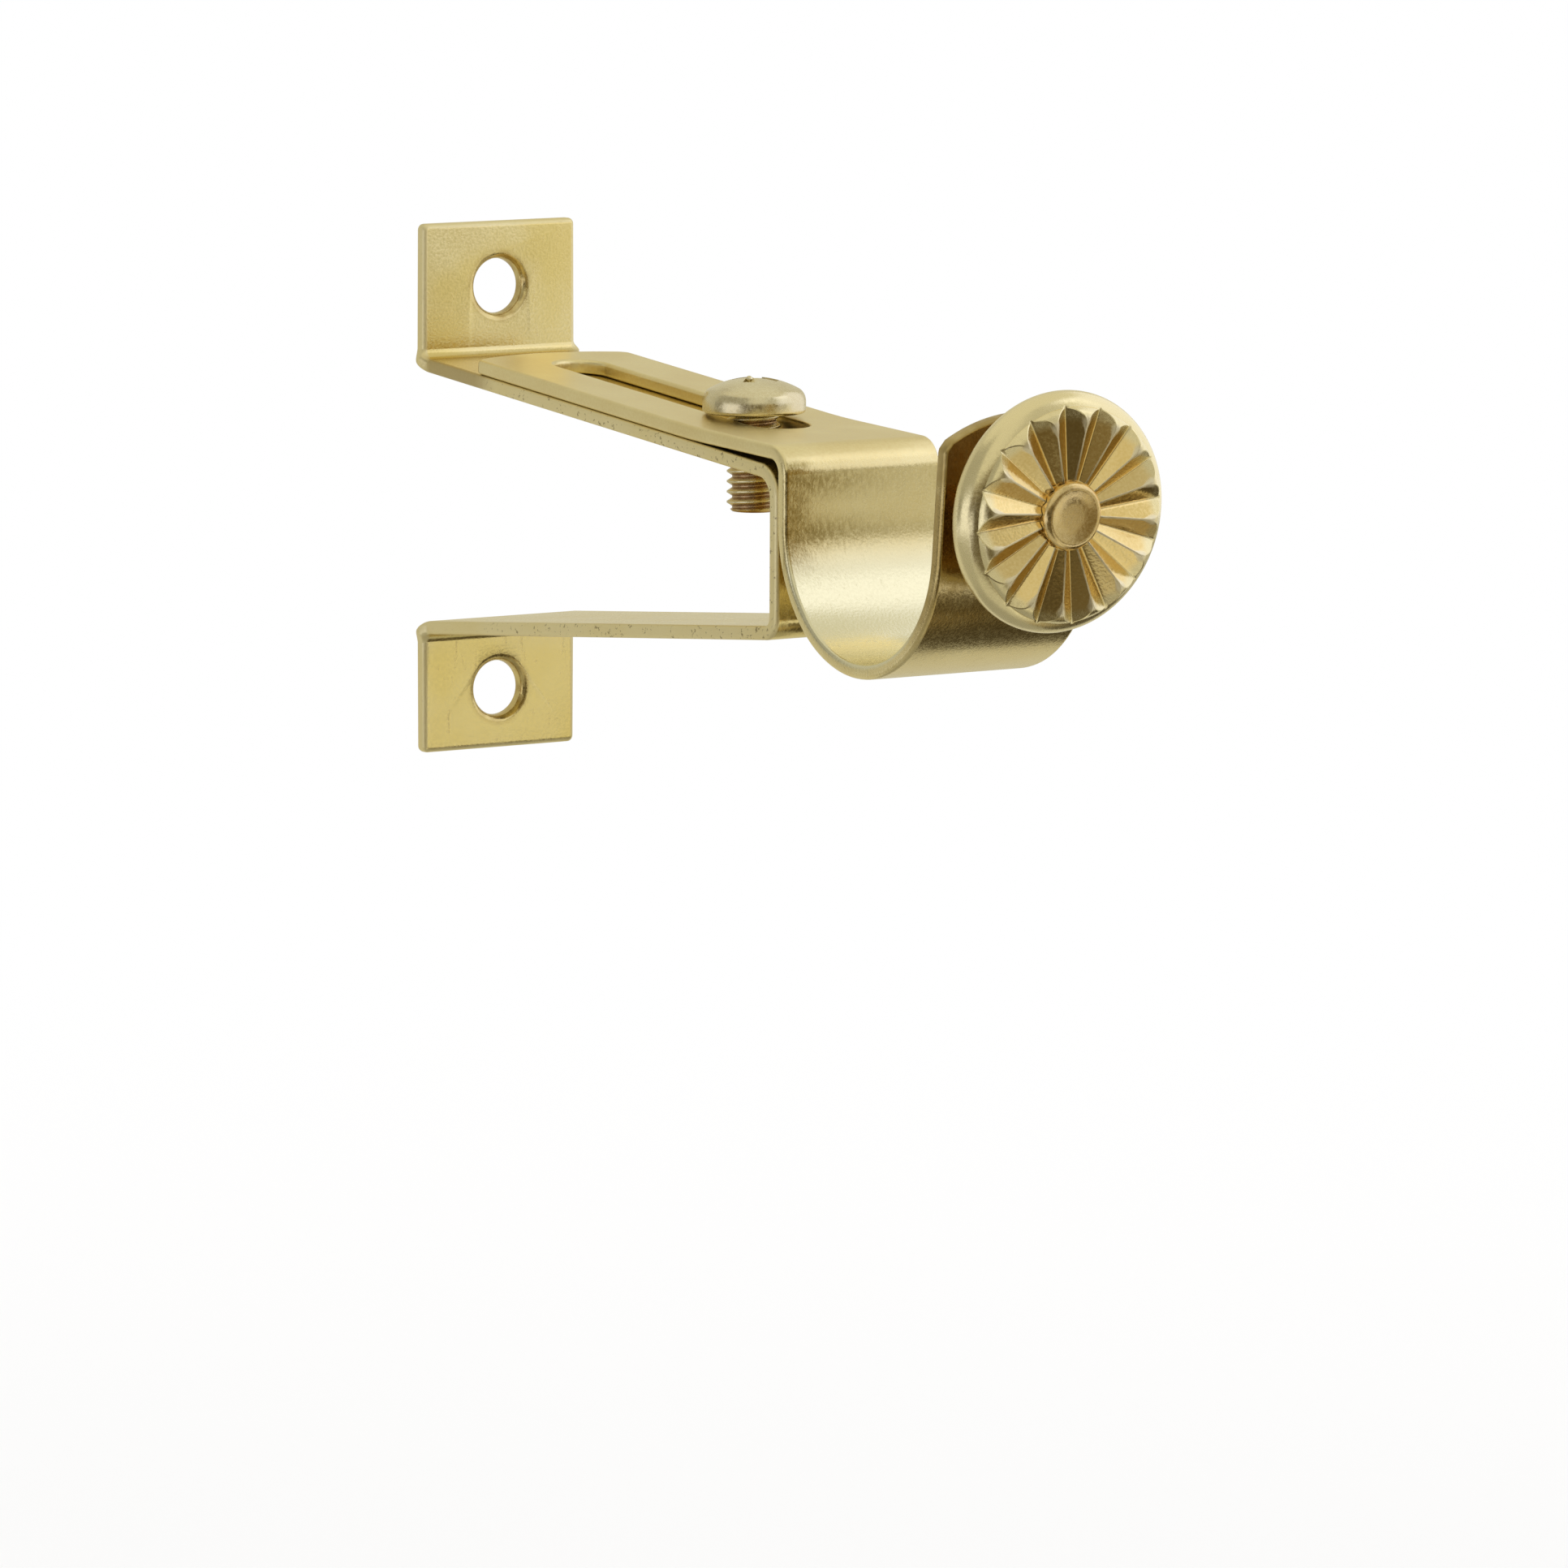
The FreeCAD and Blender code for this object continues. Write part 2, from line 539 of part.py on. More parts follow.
def clamp_screw():
    """A domed screw with a cross recess, standing upright in the top leg."""
    body = new_body("clamp_screw")
    outline = Outline(body_sketch(body, "ScrewHalf", "XZ_Plane"))
    shank = number("Sizes.screw_diameter / 2")
    head = number("Sizes.head_diameter / 2")
    side, dome = number("Sizes.head_side"), number("Sizes.head_dome")
    chamfer, length = number("Sizes.screw_chamfer"), number("Sizes.screw_length")
    top = side + dome
    sphere = (head ** 2 + dome ** 2) / 2 / dome
    points = [
        (0, top), (0, -length), (shank - chamfer, -length), (shank, -length + chamfer),
        (shank, 0), (head, 0), (head, side),
    ]
    sides = [outline.line(a, b) for a, b in zip(points, points[1:])]
    cap = outline.arc((0, top - sphere), points[-1], points[0])
    for this, following in zip(sides, sides[1:]):
        outline.hold("Coincident", this, END, following, START)
    outline.hold("Coincident", cap, START, sides[-1], END)
    outline.hold("Coincident", cap, END, sides[0], START)
    places = [
        ("0", "Sizes.head_side + Sizes.head_dome"),
        ("0", "-Sizes.screw_length"),
        ("Sizes.screw_diameter / 2 - Sizes.screw_chamfer", "-Sizes.screw_length"),
        ("Sizes.screw_diameter / 2", "Sizes.screw_chamfer - Sizes.screw_length"),
        ("Sizes.screw_diameter / 2", "0"),
        ("Sizes.head_diameter / 2", "0"),
    ]
    for line, place in zip(sides, places):
        outline.place(line, START, *place)
    outline.place(sides[-1], END, "Sizes.head_diameter / 2", "Sizes.head_side")
    outline.measure("DistanceX", cap, CENTRE, formula="0")
    revolve(body, "Turned", outline.sketch)

    recess = body_sketch(body, "RecessOutline", "XY_Plane")
    recess.AttachmentOffset = Placement(Vector(0, 0, 0), Rotation(Vector(0, 0, 1), 1))
    bind(recess, {
        "AttachmentOffset.Base.z": "Sizes.head_side + Sizes.head_dome",
        "AttachmentOffset.Rotation.Angle": "Sizes.recess_turn * 1 deg",
    })
    tip, wing = "Sizes.recess_span / 2", "Sizes.recess_width / 2"
    quarter = [(tip, wing), (wing, wing), (wing, tip)]
    turns = (
        lambda a, b: (a, b), lambda a, b: (f"-({b})", a),
        lambda a, b: (f"-({a})", f"-({b})"), lambda a, b: (b, f"-({a})"),
    )
    Outline(recess).polygon([turn(*corner) for turn in turns for corner in quarter])
    cut = pocket(body, "Recess", recess, reverse=False, depth="Sizes.recess_depth")
    lower_edge = number("Sizes.head_diameter / 2")
    fillet(
        body, "HeadEdge", cut,
        lambda edge: edge.Curve.TypeId == "Part::GeomCircle" and abs(edge.Curve.Center.z) < NEAR
        and abs(edge.Curve.Radius - lower_edge) < NEAR,
        "Sizes.head_edge",
    )
    highest = "(Sizes.screw_reach - Sizes.head_diameter / 2 + Sizes.head_edge)"
    bind(body, {
        "Placement.Base.y": "-Sizes.screw_reach",
        "Placement.Base.z": f"{arm_top(highest)} + Sizes.seat_clearance",
    })
    return body


def stand_on_cup(body):
    """Sets a turned piece on the rosette's axis, its origin on the outside of the cup's front wall."""
    body.Placement = Placement(Vector(0, 0, 0), Rotation(X_AXIS, 90 + number("Sizes.wall_lean")))
    bind(body, {
        "Placement.Base.y": f"-{ROSETTE_SEAT}",
        "Placement.Base.z": "Sizes.rosette_height",
        "Placement.Rotation.Angle": "(90 + Sizes.wall_lean) * 1 deg",
    })


FLUTE_FLOOR = "(Sizes.disc_stand_off + Sizes.flute_floor)"
CROWN = f"({FLUTE_FLOOR} + Sizes.crown_height)"
RIM_CENTRE = ("(Sizes.rosette_radius - Sizes.rim_radius)", "(Sizes.disc_stand_off + Sizes.rim_radius)")
CROWN_EDGE_CENTRE = ("Sizes.crown_radius", f"({CROWN} - Sizes.crown_edge)")


def where_circles_meet(first, first_radius, second, second_radius):
    """The meeting point of two circles that lies outwards of the line between their centres."""
    between = Vector(second[0] - first[0], second[1] - first[1], 0)
    apart = between.Length
    along = (first_radius ** 2 - second_radius ** 2 + apart ** 2) / 2 / apart
    aside = math.sqrt(first_radius ** 2 - along ** 2)
    between.normalize()
    across = first[0] + between.x * along + between.y * aside
    return across, first[1] + between.y * along - between.x * aside


def rosette():
    """A fluted disc with a rounded edge, standing off the cup on a hub of its own."""
    body = new_body("rosette")
    outline = Outline(body_sketch(body, "RosetteHalf", "XZ_Plane"))
    bore = "Sizes.rivet_radius + Sizes.rivet_clearance"
    seat = "Sizes.rivet_head_radius + Sizes.rivet_clearance"
    back = "Sizes.disc_stand_off"
    straight_places = [
        (RIM_CENTRE[0], back), ("Sizes.hub_radius", back), ("Sizes.hub_radius", "0"), (bore, "0"),
        (bore, FLUTE_FLOOR), (seat, FLUTE_FLOOR), (seat, CROWN), ("Sizes.crown_radius", CROWN),
    ]
    points = [(number(across), number(up)) for across, up in straight_places]
    rim_centre = [number(formula) for formula in RIM_CENTRE]
    crown_centre = [number(formula) for formula in CROWN_EDGE_CENTRE]
    radii = number("Sizes.rim_radius"), number("Sizes.crown_edge")
    meeting = where_circles_meet(rim_centre, radii[0], crown_centre, radii[1])
    sides = [outline.line(a, b) for a, b in zip(points, points[1:])]
    rim_arc = outline.arc(rim_centre, points[0], meeting)
    crown_arc = outline.arc(crown_centre, meeting, points[-1])
    for this, following in zip(sides, sides[1:]):
        outline.hold("Coincident", this, END, following, START)
    for line, place in zip(sides, straight_places):
        outline.place(line, START, *place)
    outline.place(sides[-1], END, *straight_places[-1])
    outline.hold("Coincident", rim_arc, START, sides[0], START)
    outline.hold("Coincident", rim_arc, END, crown_arc, START)
    outline.hold("Coincident", crown_arc, END, sides[-1], END)
    outline.place(rim_arc, CENTRE, *RIM_CENTRE)
    outline.place(crown_arc, CENTRE, *CROWN_EDGE_CENTRE)
    revolve(body, "Disc", outline.sketch)

    section = body_sketch(body, "FluteSection", "XZ_Plane")
    section.AttachmentOffset = Placement(Vector(0, 0, 0), Rotation(Vector(0, 1, 0), 1))
    bind(section, {"AttachmentOffset.Rotation.Angle": "Sizes.rosette_turn * 1 deg"})
    rise = f"(Sizes.crown_height + {CUT_WASTE})"
    spread = f"({rise} * tan(Sizes.flute_angle / 2))"
    Outline(section).polygon([
        ("0", FLUTE_FLOOR), (spread, f"{FLUTE_FLOOR} + {rise}"), (f"-{spread}", f"{FLUTE_FLOOR} + {rise}"),
    ])
    doc.recompute()
    flute = pocket(body, "Flute", section, reverse=False)
    flutes = body.newObject("PartDesign::PolarPattern", "Flutes")
    flutes.Originals = [flute]
    axis = [f for f in body.Origin.OriginFeatures if f.Role == "Z_Axis"][0]
    flutes.Axis = (axis, [""])
    flutes.Angle = 360
    bind(flutes, {"Occurrences": "Sizes.flute_count"})
    body.Tip = flutes
    doc.recompute()
    stand_on_cup(body)
    return body


def rosette_rivet():
    """A rivet through the rosette and the cup: dished head, shank, and an end flattened in the cup."""
    body = new_body("rosette_rivet")
    outline = Outline(body_sketch(body, "RivetHalf", "XZ_Plane"))
    inside = "-Sizes.arm_thickness"
    end = f"({inside} - Sizes.clench_height)"
    face = f"({FLUTE_FLOOR} + Sizes.rivet_head_height)"
    head = "Sizes.rivet_head_radius"
    places = [
        ("0", f"{face} - Sizes.rivet_dish_depth"), ("0", end), ("Sizes.clench_radius", end),
        ("Sizes.clench_radius", inside), ("Sizes.rivet_radius", inside), ("Sizes.rivet_radius", FLUTE_FLOOR),
        (head, FLUTE_FLOOR), (head, face), ("Sizes.rivet_dish_radius", face),
    ]
    outline.polygon(places)
    turned = revolve(body, "Turned", outline.sketch)
    rim, face_height = number(head), number(face)
    clench, end_height = number("Sizes.clench_radius"), number(end)
    shoulder = fillet(
        body, "HeadShoulder", turned,
        lambda edge: edge.Curve.TypeId == "Part::GeomCircle" and abs(edge.Curve.Radius - rim) < NEAR
        and abs(edge.Curve.Center.z - face_height) < NEAR,
        "Sizes.rivet_head_edge",
    )
    fillet(
        body, "ClenchEdge", shoulder,
        lambda edge: edge.Curve.TypeId == "Part::GeomCircle" and abs(edge.Curve.Radius - clench) < NEAR
        and abs(edge.Curve.Center.z - end_height) < NEAR,
        "Sizes.clench_edge",
    )
    stand_on_cup(body)
    return body


pieces = [wall_bracket(), pole_arm(), clamp_screw(), rosette(), rosette_rivet()]
doc.recompute()

for item in doc.Objects:
    if "Invalid" in item.State or "Error" in item.State:
        raise RuntimeError(f"{item.Label} could not be built: {item.State}")
for piece in pieces:
    if piece.Shape.isNull() or not piece.Shape.isValid() or len(piece.Shape.Solids) != 1:
        raise RuntimeError(f"{piece.Label} is not one sound solid")

os.makedirs("parts", exist_ok=True)
for piece in pieces:
    piece.Shape.exportStep(f"parts/{piece.Label}.step")
    box = piece.Shape.BoundBox
    print(f"{piece.Label}: {box.XLength:.2f} x {box.YLength:.2f} x {box.ZLength:.2f} mm,"
          f" {piece.Shape.Volume:.1f} cubic mm")
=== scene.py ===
import json
import math

import bmesh
import bpy
from mathutils import Matrix, Vector

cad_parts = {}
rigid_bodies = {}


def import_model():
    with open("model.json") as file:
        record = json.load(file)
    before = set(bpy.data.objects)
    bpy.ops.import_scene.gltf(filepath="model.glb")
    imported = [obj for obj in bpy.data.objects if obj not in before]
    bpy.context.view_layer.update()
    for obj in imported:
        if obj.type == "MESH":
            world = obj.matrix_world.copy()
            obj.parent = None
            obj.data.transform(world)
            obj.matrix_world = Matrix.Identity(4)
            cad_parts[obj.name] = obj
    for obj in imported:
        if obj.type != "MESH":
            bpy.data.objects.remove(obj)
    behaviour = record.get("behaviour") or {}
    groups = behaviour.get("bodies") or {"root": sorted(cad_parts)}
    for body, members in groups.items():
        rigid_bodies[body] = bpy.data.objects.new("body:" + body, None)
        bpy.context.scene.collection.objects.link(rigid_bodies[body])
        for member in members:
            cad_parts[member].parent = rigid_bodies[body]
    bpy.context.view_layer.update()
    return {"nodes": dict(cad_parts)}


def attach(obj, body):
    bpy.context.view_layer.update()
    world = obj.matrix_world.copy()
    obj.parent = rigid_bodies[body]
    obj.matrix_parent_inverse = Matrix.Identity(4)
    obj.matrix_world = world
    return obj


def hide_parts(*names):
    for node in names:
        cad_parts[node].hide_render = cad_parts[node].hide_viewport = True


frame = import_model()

MM = 0.001

# Sizes in millimetres and angles, the same as the solids'

STRIP_WIDTH = 14.3
BRACKET_THICKNESS = 1.1
PROJECTION = 51.4
WALL_GAP = 20.2
FRONT_GAP = 11.1
LEG_DROP = 0.35
WALL_BEND_RADIUS = 0.75
UPPER_BEND_RADIUS = 1.6
LOWER_BEND_RADIUS = 0.7
FOOT_CORNER_RADIUS = 0.5
HOLE_SPACING = 32.4
HOLE_RADIUS = 2.2
HOLE_LIP = 0.6
UPPER_MARGIN = 5.2
LOWER_MARGIN = 4.8
ARM_THICKNESS = 1.15
ARM_CLEARANCE = 0.03
ARM_START = 7.4
ARM_END_BOW = 1.5
ARM_CORNER_RADIUS = 0.6
ARM_BEND_RADIUS = 1.05
ARM_LIFT = math.radians(2.4)
LIFT_BEYOND_SCREW = 1.8
SPRING_RADIUS = 80.0
SLOT_WIDTH = 4.5
SLOT_START = 13.4
SLOT_BEYOND_SCREW = 3.5
CUP_RADIUS = 9.6
CUP_HEIGHT = 2.0
WALL_LEAN = math.radians(5.3)
LIP_HEIGHT = 11.95
LIP_BOW = 2.15
SCREW_REACH = 37.7
SCREW_DIAMETER = 4.2
SCREW_LENGTH = 7.6
SCREW_CHAMFER = 0.4
THREAD_CLEARANCE = 0.05
SEAT_CLEARANCE = 0.02
HEAD_DIAMETER = 8.0
HEAD_SIDE = 1.55
HEAD_DOME = 1.2
HEAD_EDGE = 0.3
RECESS_SPAN = 4.2
RECESS_WIDTH = 0.95
RECESS_DEPTH = 1.7
RECESS_TURN = math.radians(43.0)
ROSETTE_HEIGHT = 5.3
ROSETTE_RADIUS = 9.1
ROSETTE_TURN = math.radians(6.4)
RIM_RADIUS = 1.6
CROWN_RADIUS = 7.18
CROWN_EDGE = 1.0
CROWN_HEIGHT = 0.85
DISC_STAND_OFF = 3.05
HUB_RADIUS = 3.2
FLUTE_COUNT = 16
FLUTE_ANGLE = math.radians(111.0)
FLUTE_FLOOR = DISC_STAND_OFF + 3.0
RIVET_RADIUS = 1.5
RIVET_CLEARANCE = 0.05
RIVET_HEAD_RADIUS = 2.6
RIVET_HEAD_HEIGHT = 0.85
RIVET_HEAD_EDGE = 0.55
RIVET_DISH_RADIUS = 1.95
RIVET_DISH_DEPTH = 0.12
CLENCH_RADIUS = 2.0
CLENCH_HEIGHT = 0.35
CLENCH_EDGE = 0.25

# Small forms that the solids leave out, or have a little sharper

EDGE_RADIUS = 0.32
EDGE_REACH = 1.02 * EDGE_RADIUS
BEND_BULGE = 0.42
BEND_BULGE_REACH = 0.9
BEND_BULGE_POWER = 12
HOLE_BACK_LIP = 0.08
TAPPED_LIP = 0.12
RIVET_HOLE_LIP = 0.05
BOW_CORNER_START = 0.9
BOW_CORNER_ACROSS = 0.12
BOW_CORNER_ALONG = 0.55
THREAD_PITCH = 0.794
THREAD_DEPTH = 0.42
THREAD_CREST = 0.16
THREAD_GROOVE = 0.84
SHANK_IN_HEAD = 0.3
HEAD_SHOULDER = 0.75
HEAD_DOME_SHARE = 0.86
RECESS_FLOOR = (0.22, 0.36)
RECESS_MOUTH = (0.56, 0.56)
RECESS_ABOVE_HEAD = 0.5
BURR_PLACE = (-0.62, -0.22)
BURR_SUNK = 0.12
BURR_RADIUS = 0.27
HUB_EASE = 0.15
DISH_WALL = 0.35
DISH_MIDDLE_RADIUS = 0.9
DISH_MIDDLE_SHARE = 1.3
DISH_CENTRE_SHARE = 1.4
WEDGE_JOIN = 0.0005

INNER_FRONT = PROJECTION - BRACKET_THICKNESS
LEG_SLOPE = (WALL_GAP - FRONT_GAP) / 2 / INNER_FRONT
LEG_ANGLE = math.atan(LEG_SLOPE)
LEG_TOP_AT_WALL = WALL_GAP / 2 - LEG_DROP + BRACKET_THICKNESS / math.cos(LEG_ANGLE)
ARM_TOP_AT_WALL = LEG_TOP_AT_WALL + ARM_CLEARANCE + ARM_THICKNESS / math.cos(LEG_ANGLE)
SLOT_END = SCREW_REACH + SLOT_BEYOND_SCREW
CUP_BACK = PROJECTION + ARM_CLEARANCE + ARM_THICKNESS
CUP_CENTRE = CUP_BACK + CUP_RADIUS
ROSETTE_OUT = (CUP_CENTRE + (CUP_RADIUS + ARM_THICKNESS) / math.cos(WALL_LEAN)
               + (ROSETTE_HEIGHT - CUP_HEIGHT) * math.tan(WALL_LEAN))
BEND_STEP = math.radians(3.0)


def arm_top(out):
    """Height of the arm's top face at a distance out from the wall."""
    return ARM_TOP_AT_WALL - LEG_SLOPE * out


SCREW_SEAT = arm_top(SCREW_REACH - HEAD_DIAMETER / 2 + HEAD_EDGE) + SEAT_CLEARANCE


# Meshes

def new_object(name, data):
    thing = bpy.data.objects.new(name, data)
    bpy.context.scene.collection.objects.link(thing)
    return thing


def mesh_of(shape, name):
    """A new mesh with the faces of a finished shape."""
    mesh = bpy.data.meshes.new(name)
    shape.to_mesh(mesh)
    shape.free()
    return mesh


def shade(mesh, crease_degrees):
    """Smooth shading that breaks at edges sharper than a crease."""
    mesh.shade_smooth()
    mesh.set_sharp_from_angle(angle=math.radians(crease_degrees))


def bake(piece):
    """Puts what a piece's modifiers make into its mesh, and takes the modifiers off."""
    graph = bpy.context.evaluated_depsgraph_get()
    baked = bpy.data.meshes.new_from_object(piece.evaluated_get(graph))
    piece.modifiers.clear()
    old = piece.data
    piece.data = baked
    baked.name = piece.name
    bpy.data.meshes.remove(old)


def to_place(mesh, place, turn=Matrix()):
    """Turns a mesh and moves it to a place in millimetres."""
    mesh.transform(Matrix.Scale(MM, 4) @ Matrix.Translation(place) @ turn)


class Strip:
    """A strip's fold line: straights and bends, by the distance run along one of its faces."""

    def __init__(self, start, heading):
        self.point = Vector(start)
        self.heading = heading
        self.run = 0.0
        self.parts = []

    def straight(self, length):
        self.parts.append((self.run, self.run + length, self.point.copy(), self.heading, 0.0))
        self.point += length * Vector((math.cos(self.heading), math.sin(self.heading)))
        self.run += length

    def bend(self, radius, turn):
        """Turns left for a positive turn, right for a negative one."""
        length = radius * abs(turn)
        curvature = math.copysign(1 / radius, turn)
        self.parts.append((self.run, self.run + length, self.point.copy(), self.heading, curvature))
        self.point = self.at(self.run + length)[0]
        self.heading += turn
        self.run += length

    def at(self, run):
        """The point and the heading at a distance run."""
        for begin, end, point, heading, curvature in self.parts:
            if run <= end or end == self.parts[-1][1]:
                break
        along = run - begin
        if not curvature:
            way = Vector((math.cos(heading), math.sin(heading)))
            return point + along * way, heading
        turned = heading + curvature * along
        offset = Vector((math.sin(turned) - math.sin(heading), math.cos(heading) - math.cos(turned)))
        return point + offset / curvature, turned

    def cuts(self):
        """The runs at which the flat strip is cut across so that it can bend."""
        runs = []
        for begin, end, _, _, curvature in self.parts:
            steps = 1
            if curvature:
                steps = max(2, math.ceil(abs(curvature) * (end - begin) / BEND_STEP))
            runs += [begin + (end - begin) * i / steps for i in range(steps)]
        return runs[1:]

    def place(self, across, run, depth):
        """Where a point of the flat strip goes: depth is measured from the fold line to its right."""
        point, heading = self.at(run)
        right = Vector((math.sin(heading), -math.cos(heading)))
        out, up = point + depth * right
        return Vector((across, -out, up))


def arc_points(centre, radius, first, last, count):
    """Points on an arc from one angle to another, ends included."""
    angles = [first + (last - first) * i / (count - 1) for i in range(count)]
    return [(centre[0] + radius * math.cos(a), centre[1] + radius * math.sin(a)) for a in angles]


def rounded(corners, radius, count=7):
    """A closed outline with its corners rounded."""
    points = []
    for i, corner in enumerate(corners):
        here = Vector(corner)
        back = (Vector(corners[i - 1]) - here).normalized()
        on = (Vector(corners[(i + 1) % len(corners)]) - here).normalized()
        half = math.acos(max(-1, min(1, back.dot(on)))) / 2
        reach = radius / math.tan(half)
        centre = here + (back + on).normalized() * radius / math.sin(half)
        begin, end = here + back * reach, here + on * reach
        first = math.atan2(*(begin - centre).yx)
        turn = math.atan2(*(end - centre).yx) - first
        turn = (turn + math.pi) % (2 * math.pi) - math.pi
        points += arc_points(centre, radius, first, first + turn, count)
    return points


def circle(across, run, radius, count=64):
    return arc_points((across, run), radius, 0, 2 * math.pi * (count - 1) / count, count)


def flat_strip(name, outlines, thickness):
    """A flat plate with rounded edges: the first outline is its edge, the others are holes."""
    curve = bpy.data.curves.new(name, "CURVE")
    curve.dimensions = "2D"
    curve.fill_mode = "BOTH"
    curve.bevel_depth = EDGE_RADIUS
    curve.bevel_resolution = 3
    curve.extrude = thickness / 2 - EDGE_RADIUS
    curve.offset = -EDGE_RADIUS
    for outline in outlines:
        spline = curve.splines.new("POLY")
        spline.points.add(len(outline) - 1)
        for point, (across, run) in zip(spline.points, outline):
            point.co = (across, run, 0, 1)
        spline.use_cyclic_u = True
    shape = bpy.data.objects.new(name, curve)
    bpy.context.scene.collection.objects.link(shape)
    graph = bpy.context.evaluated_depsgraph_get()
    mesh = bpy.data.meshes.new_from_object(shape.evaluated_get(graph))
    bpy.data.objects.remove(shape)
    bpy.data.curves.remove(curve)
    return mesh


def eased_hole(point, centre, radius, thickness, front, back):
    """Widens or tightens the rounding round a hole, apart on each face."""
    away = Vector((point[0] - centre[0], point[1] - centre[1]))
    reach = away.length
    if reach > radius + EDGE_REACH:
        return point
    to_front = thickness / 2 - point[2]
    to_back = thickness / 2 + point[2]
    if to_front < EDGE_RADIUS:
        scale = front / EDGE_RADIUS
        depth = thickness / 2 - to_front * scale
    elif to_back < EDGE_RADIUS:
        scale = back / EDGE_RADIUS
        depth = -thickness / 2 + to_back * scale
    else:
        middle = (to_back - EDGE_RADIUS) / (thickness - 2 * EDGE_RADIUS)
        return Vector((point[0], point[1], -thickness / 2 + back + middle * (thickness - front - back)))
    away *= (radius + (reach - radius) * scale) / reach
    return Vector((centre[0] + away.x, centre[1] + away.y, depth))


def bulged(across, run, bulges):
    """Pushes the plate's edges out where a tight bend has squeezed them."""
    for middle, reach, amount in bulges:
        beside = ((run - middle) / reach) ** 2
        near_edge = abs(2 * across / STRIP_WIDTH) ** BEND_BULGE_POWER
        across += math.copysign(amount * math.exp(-beside) * near_edge, across)
    return across


def folded_piece(name, strip, outlines, thickness, lips, bulges=()):
    """A plate cut to its outlines and folded along its fold line."""
    mesh = flat_strip(name, outlines, thickness)
    shape = bmesh.new()
    shape.from_mesh(mesh)
    bmesh.ops.remove_doubles(shape, verts=shape.verts, dist=1e-4)
    for centre, radius, front, back in lips:
        for vertex in shape.verts:
            vertex.co = eased_hole(vertex.co, centre, radius, thickness, front, back)
    for run in strip.cuts():
        everything = shape.verts[:] + shape.edges[:] + shape.faces[:]
        bmesh.ops.bisect_plane(shape, geom=everything, dist=1e-5, plane_co=(0, run, 0), plane_no=(0, 1, 0))
    for vertex in shape.verts:
        across, run, depth = vertex.co
        vertex.co = strip.place(bulged(across, run, bulges), run, depth + thickness / 2) * MM
    bmesh.ops.recalc_face_normals(shape, faces=shape.faces)
    shape.to_mesh(mesh)
    shape.free()
    piece = new_object(name, mesh)
    shade(mesh, 32)
    level = piece.modifiers.new("Level", "WEIGHTED_NORMAL")
    level.keep_sharp = True
    level.weight = 80
    bake(piece)
    return piece


def bow(half, top, rise, corner, upwards, count=25):
    """The bowed end of a strip with its corners rounded, from one side to the other."""
    radius = (half ** 2 + rise ** 2) / 2 / rise
    reach = math.asin((half - corner * BOW_CORNER_START) / radius)
    crown = [(radius * math.sin(a), top - radius + radius * math.cos(a))
             for a in (reach - 2 * reach * i / (count - 1) for i in range(count))]
    side = top - rise - corner
    right = [(half, side), (half - BOW_CORNER_ACROSS * corner, side + BOW_CORNER_ALONG * corner)]
    left = [(-across, run) for across, run in reversed(right)]
    outline = right + crown + left
    return outline if upwards else [(across, 2 * top - run) for across, run in reversed(outline)]


def wall_bracket_piece():
    """The wall bracket, from the lower foot's end over the front to the upper foot's end."""
    strip = Strip((0, -(HOLE_SPACING / 2 + LOWER_MARGIN)), math.pi / 2)
    outer = WALL_BEND_RADIUS + BRACKET_THICKNESS
    turn = math.pi / 2 - LEG_ANGLE
    reach = outer * math.tan(turn / 2)
    lower_corner = -WALL_GAP / 2 - LEG_DROP
    strip.straight(lower_corner - strip.point.y - reach)
    lower_bend = strip.run + outer * turn / 2
    strip.bend(outer, -turn)
    lower_reach = LOWER_BEND_RADIUS * math.tan(turn / 2)
    upper_reach = UPPER_BEND_RADIUS * math.tan(turn / 2)
    leg = INNER_FRONT / math.cos(LEG_ANGLE)
    strip.straight(leg - reach - lower_reach)
    strip.bend(LOWER_BEND_RADIUS, turn)
    strip.straight(FRONT_GAP - lower_reach - upper_reach)
    strip.bend(UPPER_BEND_RADIUS, turn)
    top_leg_start = strip.run
    top_leg_point = strip.point.copy()
    strip.straight(leg - reach - upper_reach)
    upper_bend = strip.run + outer * turn / 2
    strip.bend(outer, -turn)
    upper_end = HOLE_SPACING / 2 + UPPER_MARGIN
    strip.straight(upper_end - strip.point.y)
    half = STRIP_WIDTH / 2
    edge = rounded([(-half, 0), (half, 0), (half, strip.run), (-half, strip.run)], FOOT_CORNER_RADIUS)
    lower_hole = (0, LOWER_MARGIN)
    upper_hole = (0, strip.run - UPPER_MARGIN)
    tapped = (0, top_leg_start + (top_leg_point.x - SCREW_REACH) / math.cos(LEG_ANGLE))
    tapped_radius = SCREW_DIAMETER / 2 + THREAD_CLEARANCE
    outlines = [edge, circle(*lower_hole, HOLE_RADIUS), circle(*upper_hole, HOLE_RADIUS),
                circle(*tapped, tapped_radius)]
    # The depth runs from the wall side of the feet to their front
    lips = [(hole, HOLE_RADIUS, HOLE_LIP, HOLE_BACK_LIP) for hole in (lower_hole, upper_hole)]
    lips.append((tapped, tapped_radius, TAPPED_LIP, TAPPED_LIP))
    bulges = [(run, BEND_BULGE_REACH, BEND_BULGE) for run in (lower_bend, upper_bend)]
    return folded_piece("bracket_strip", strip, outlines, BRACKET_THICKNESS, lips, bulges)


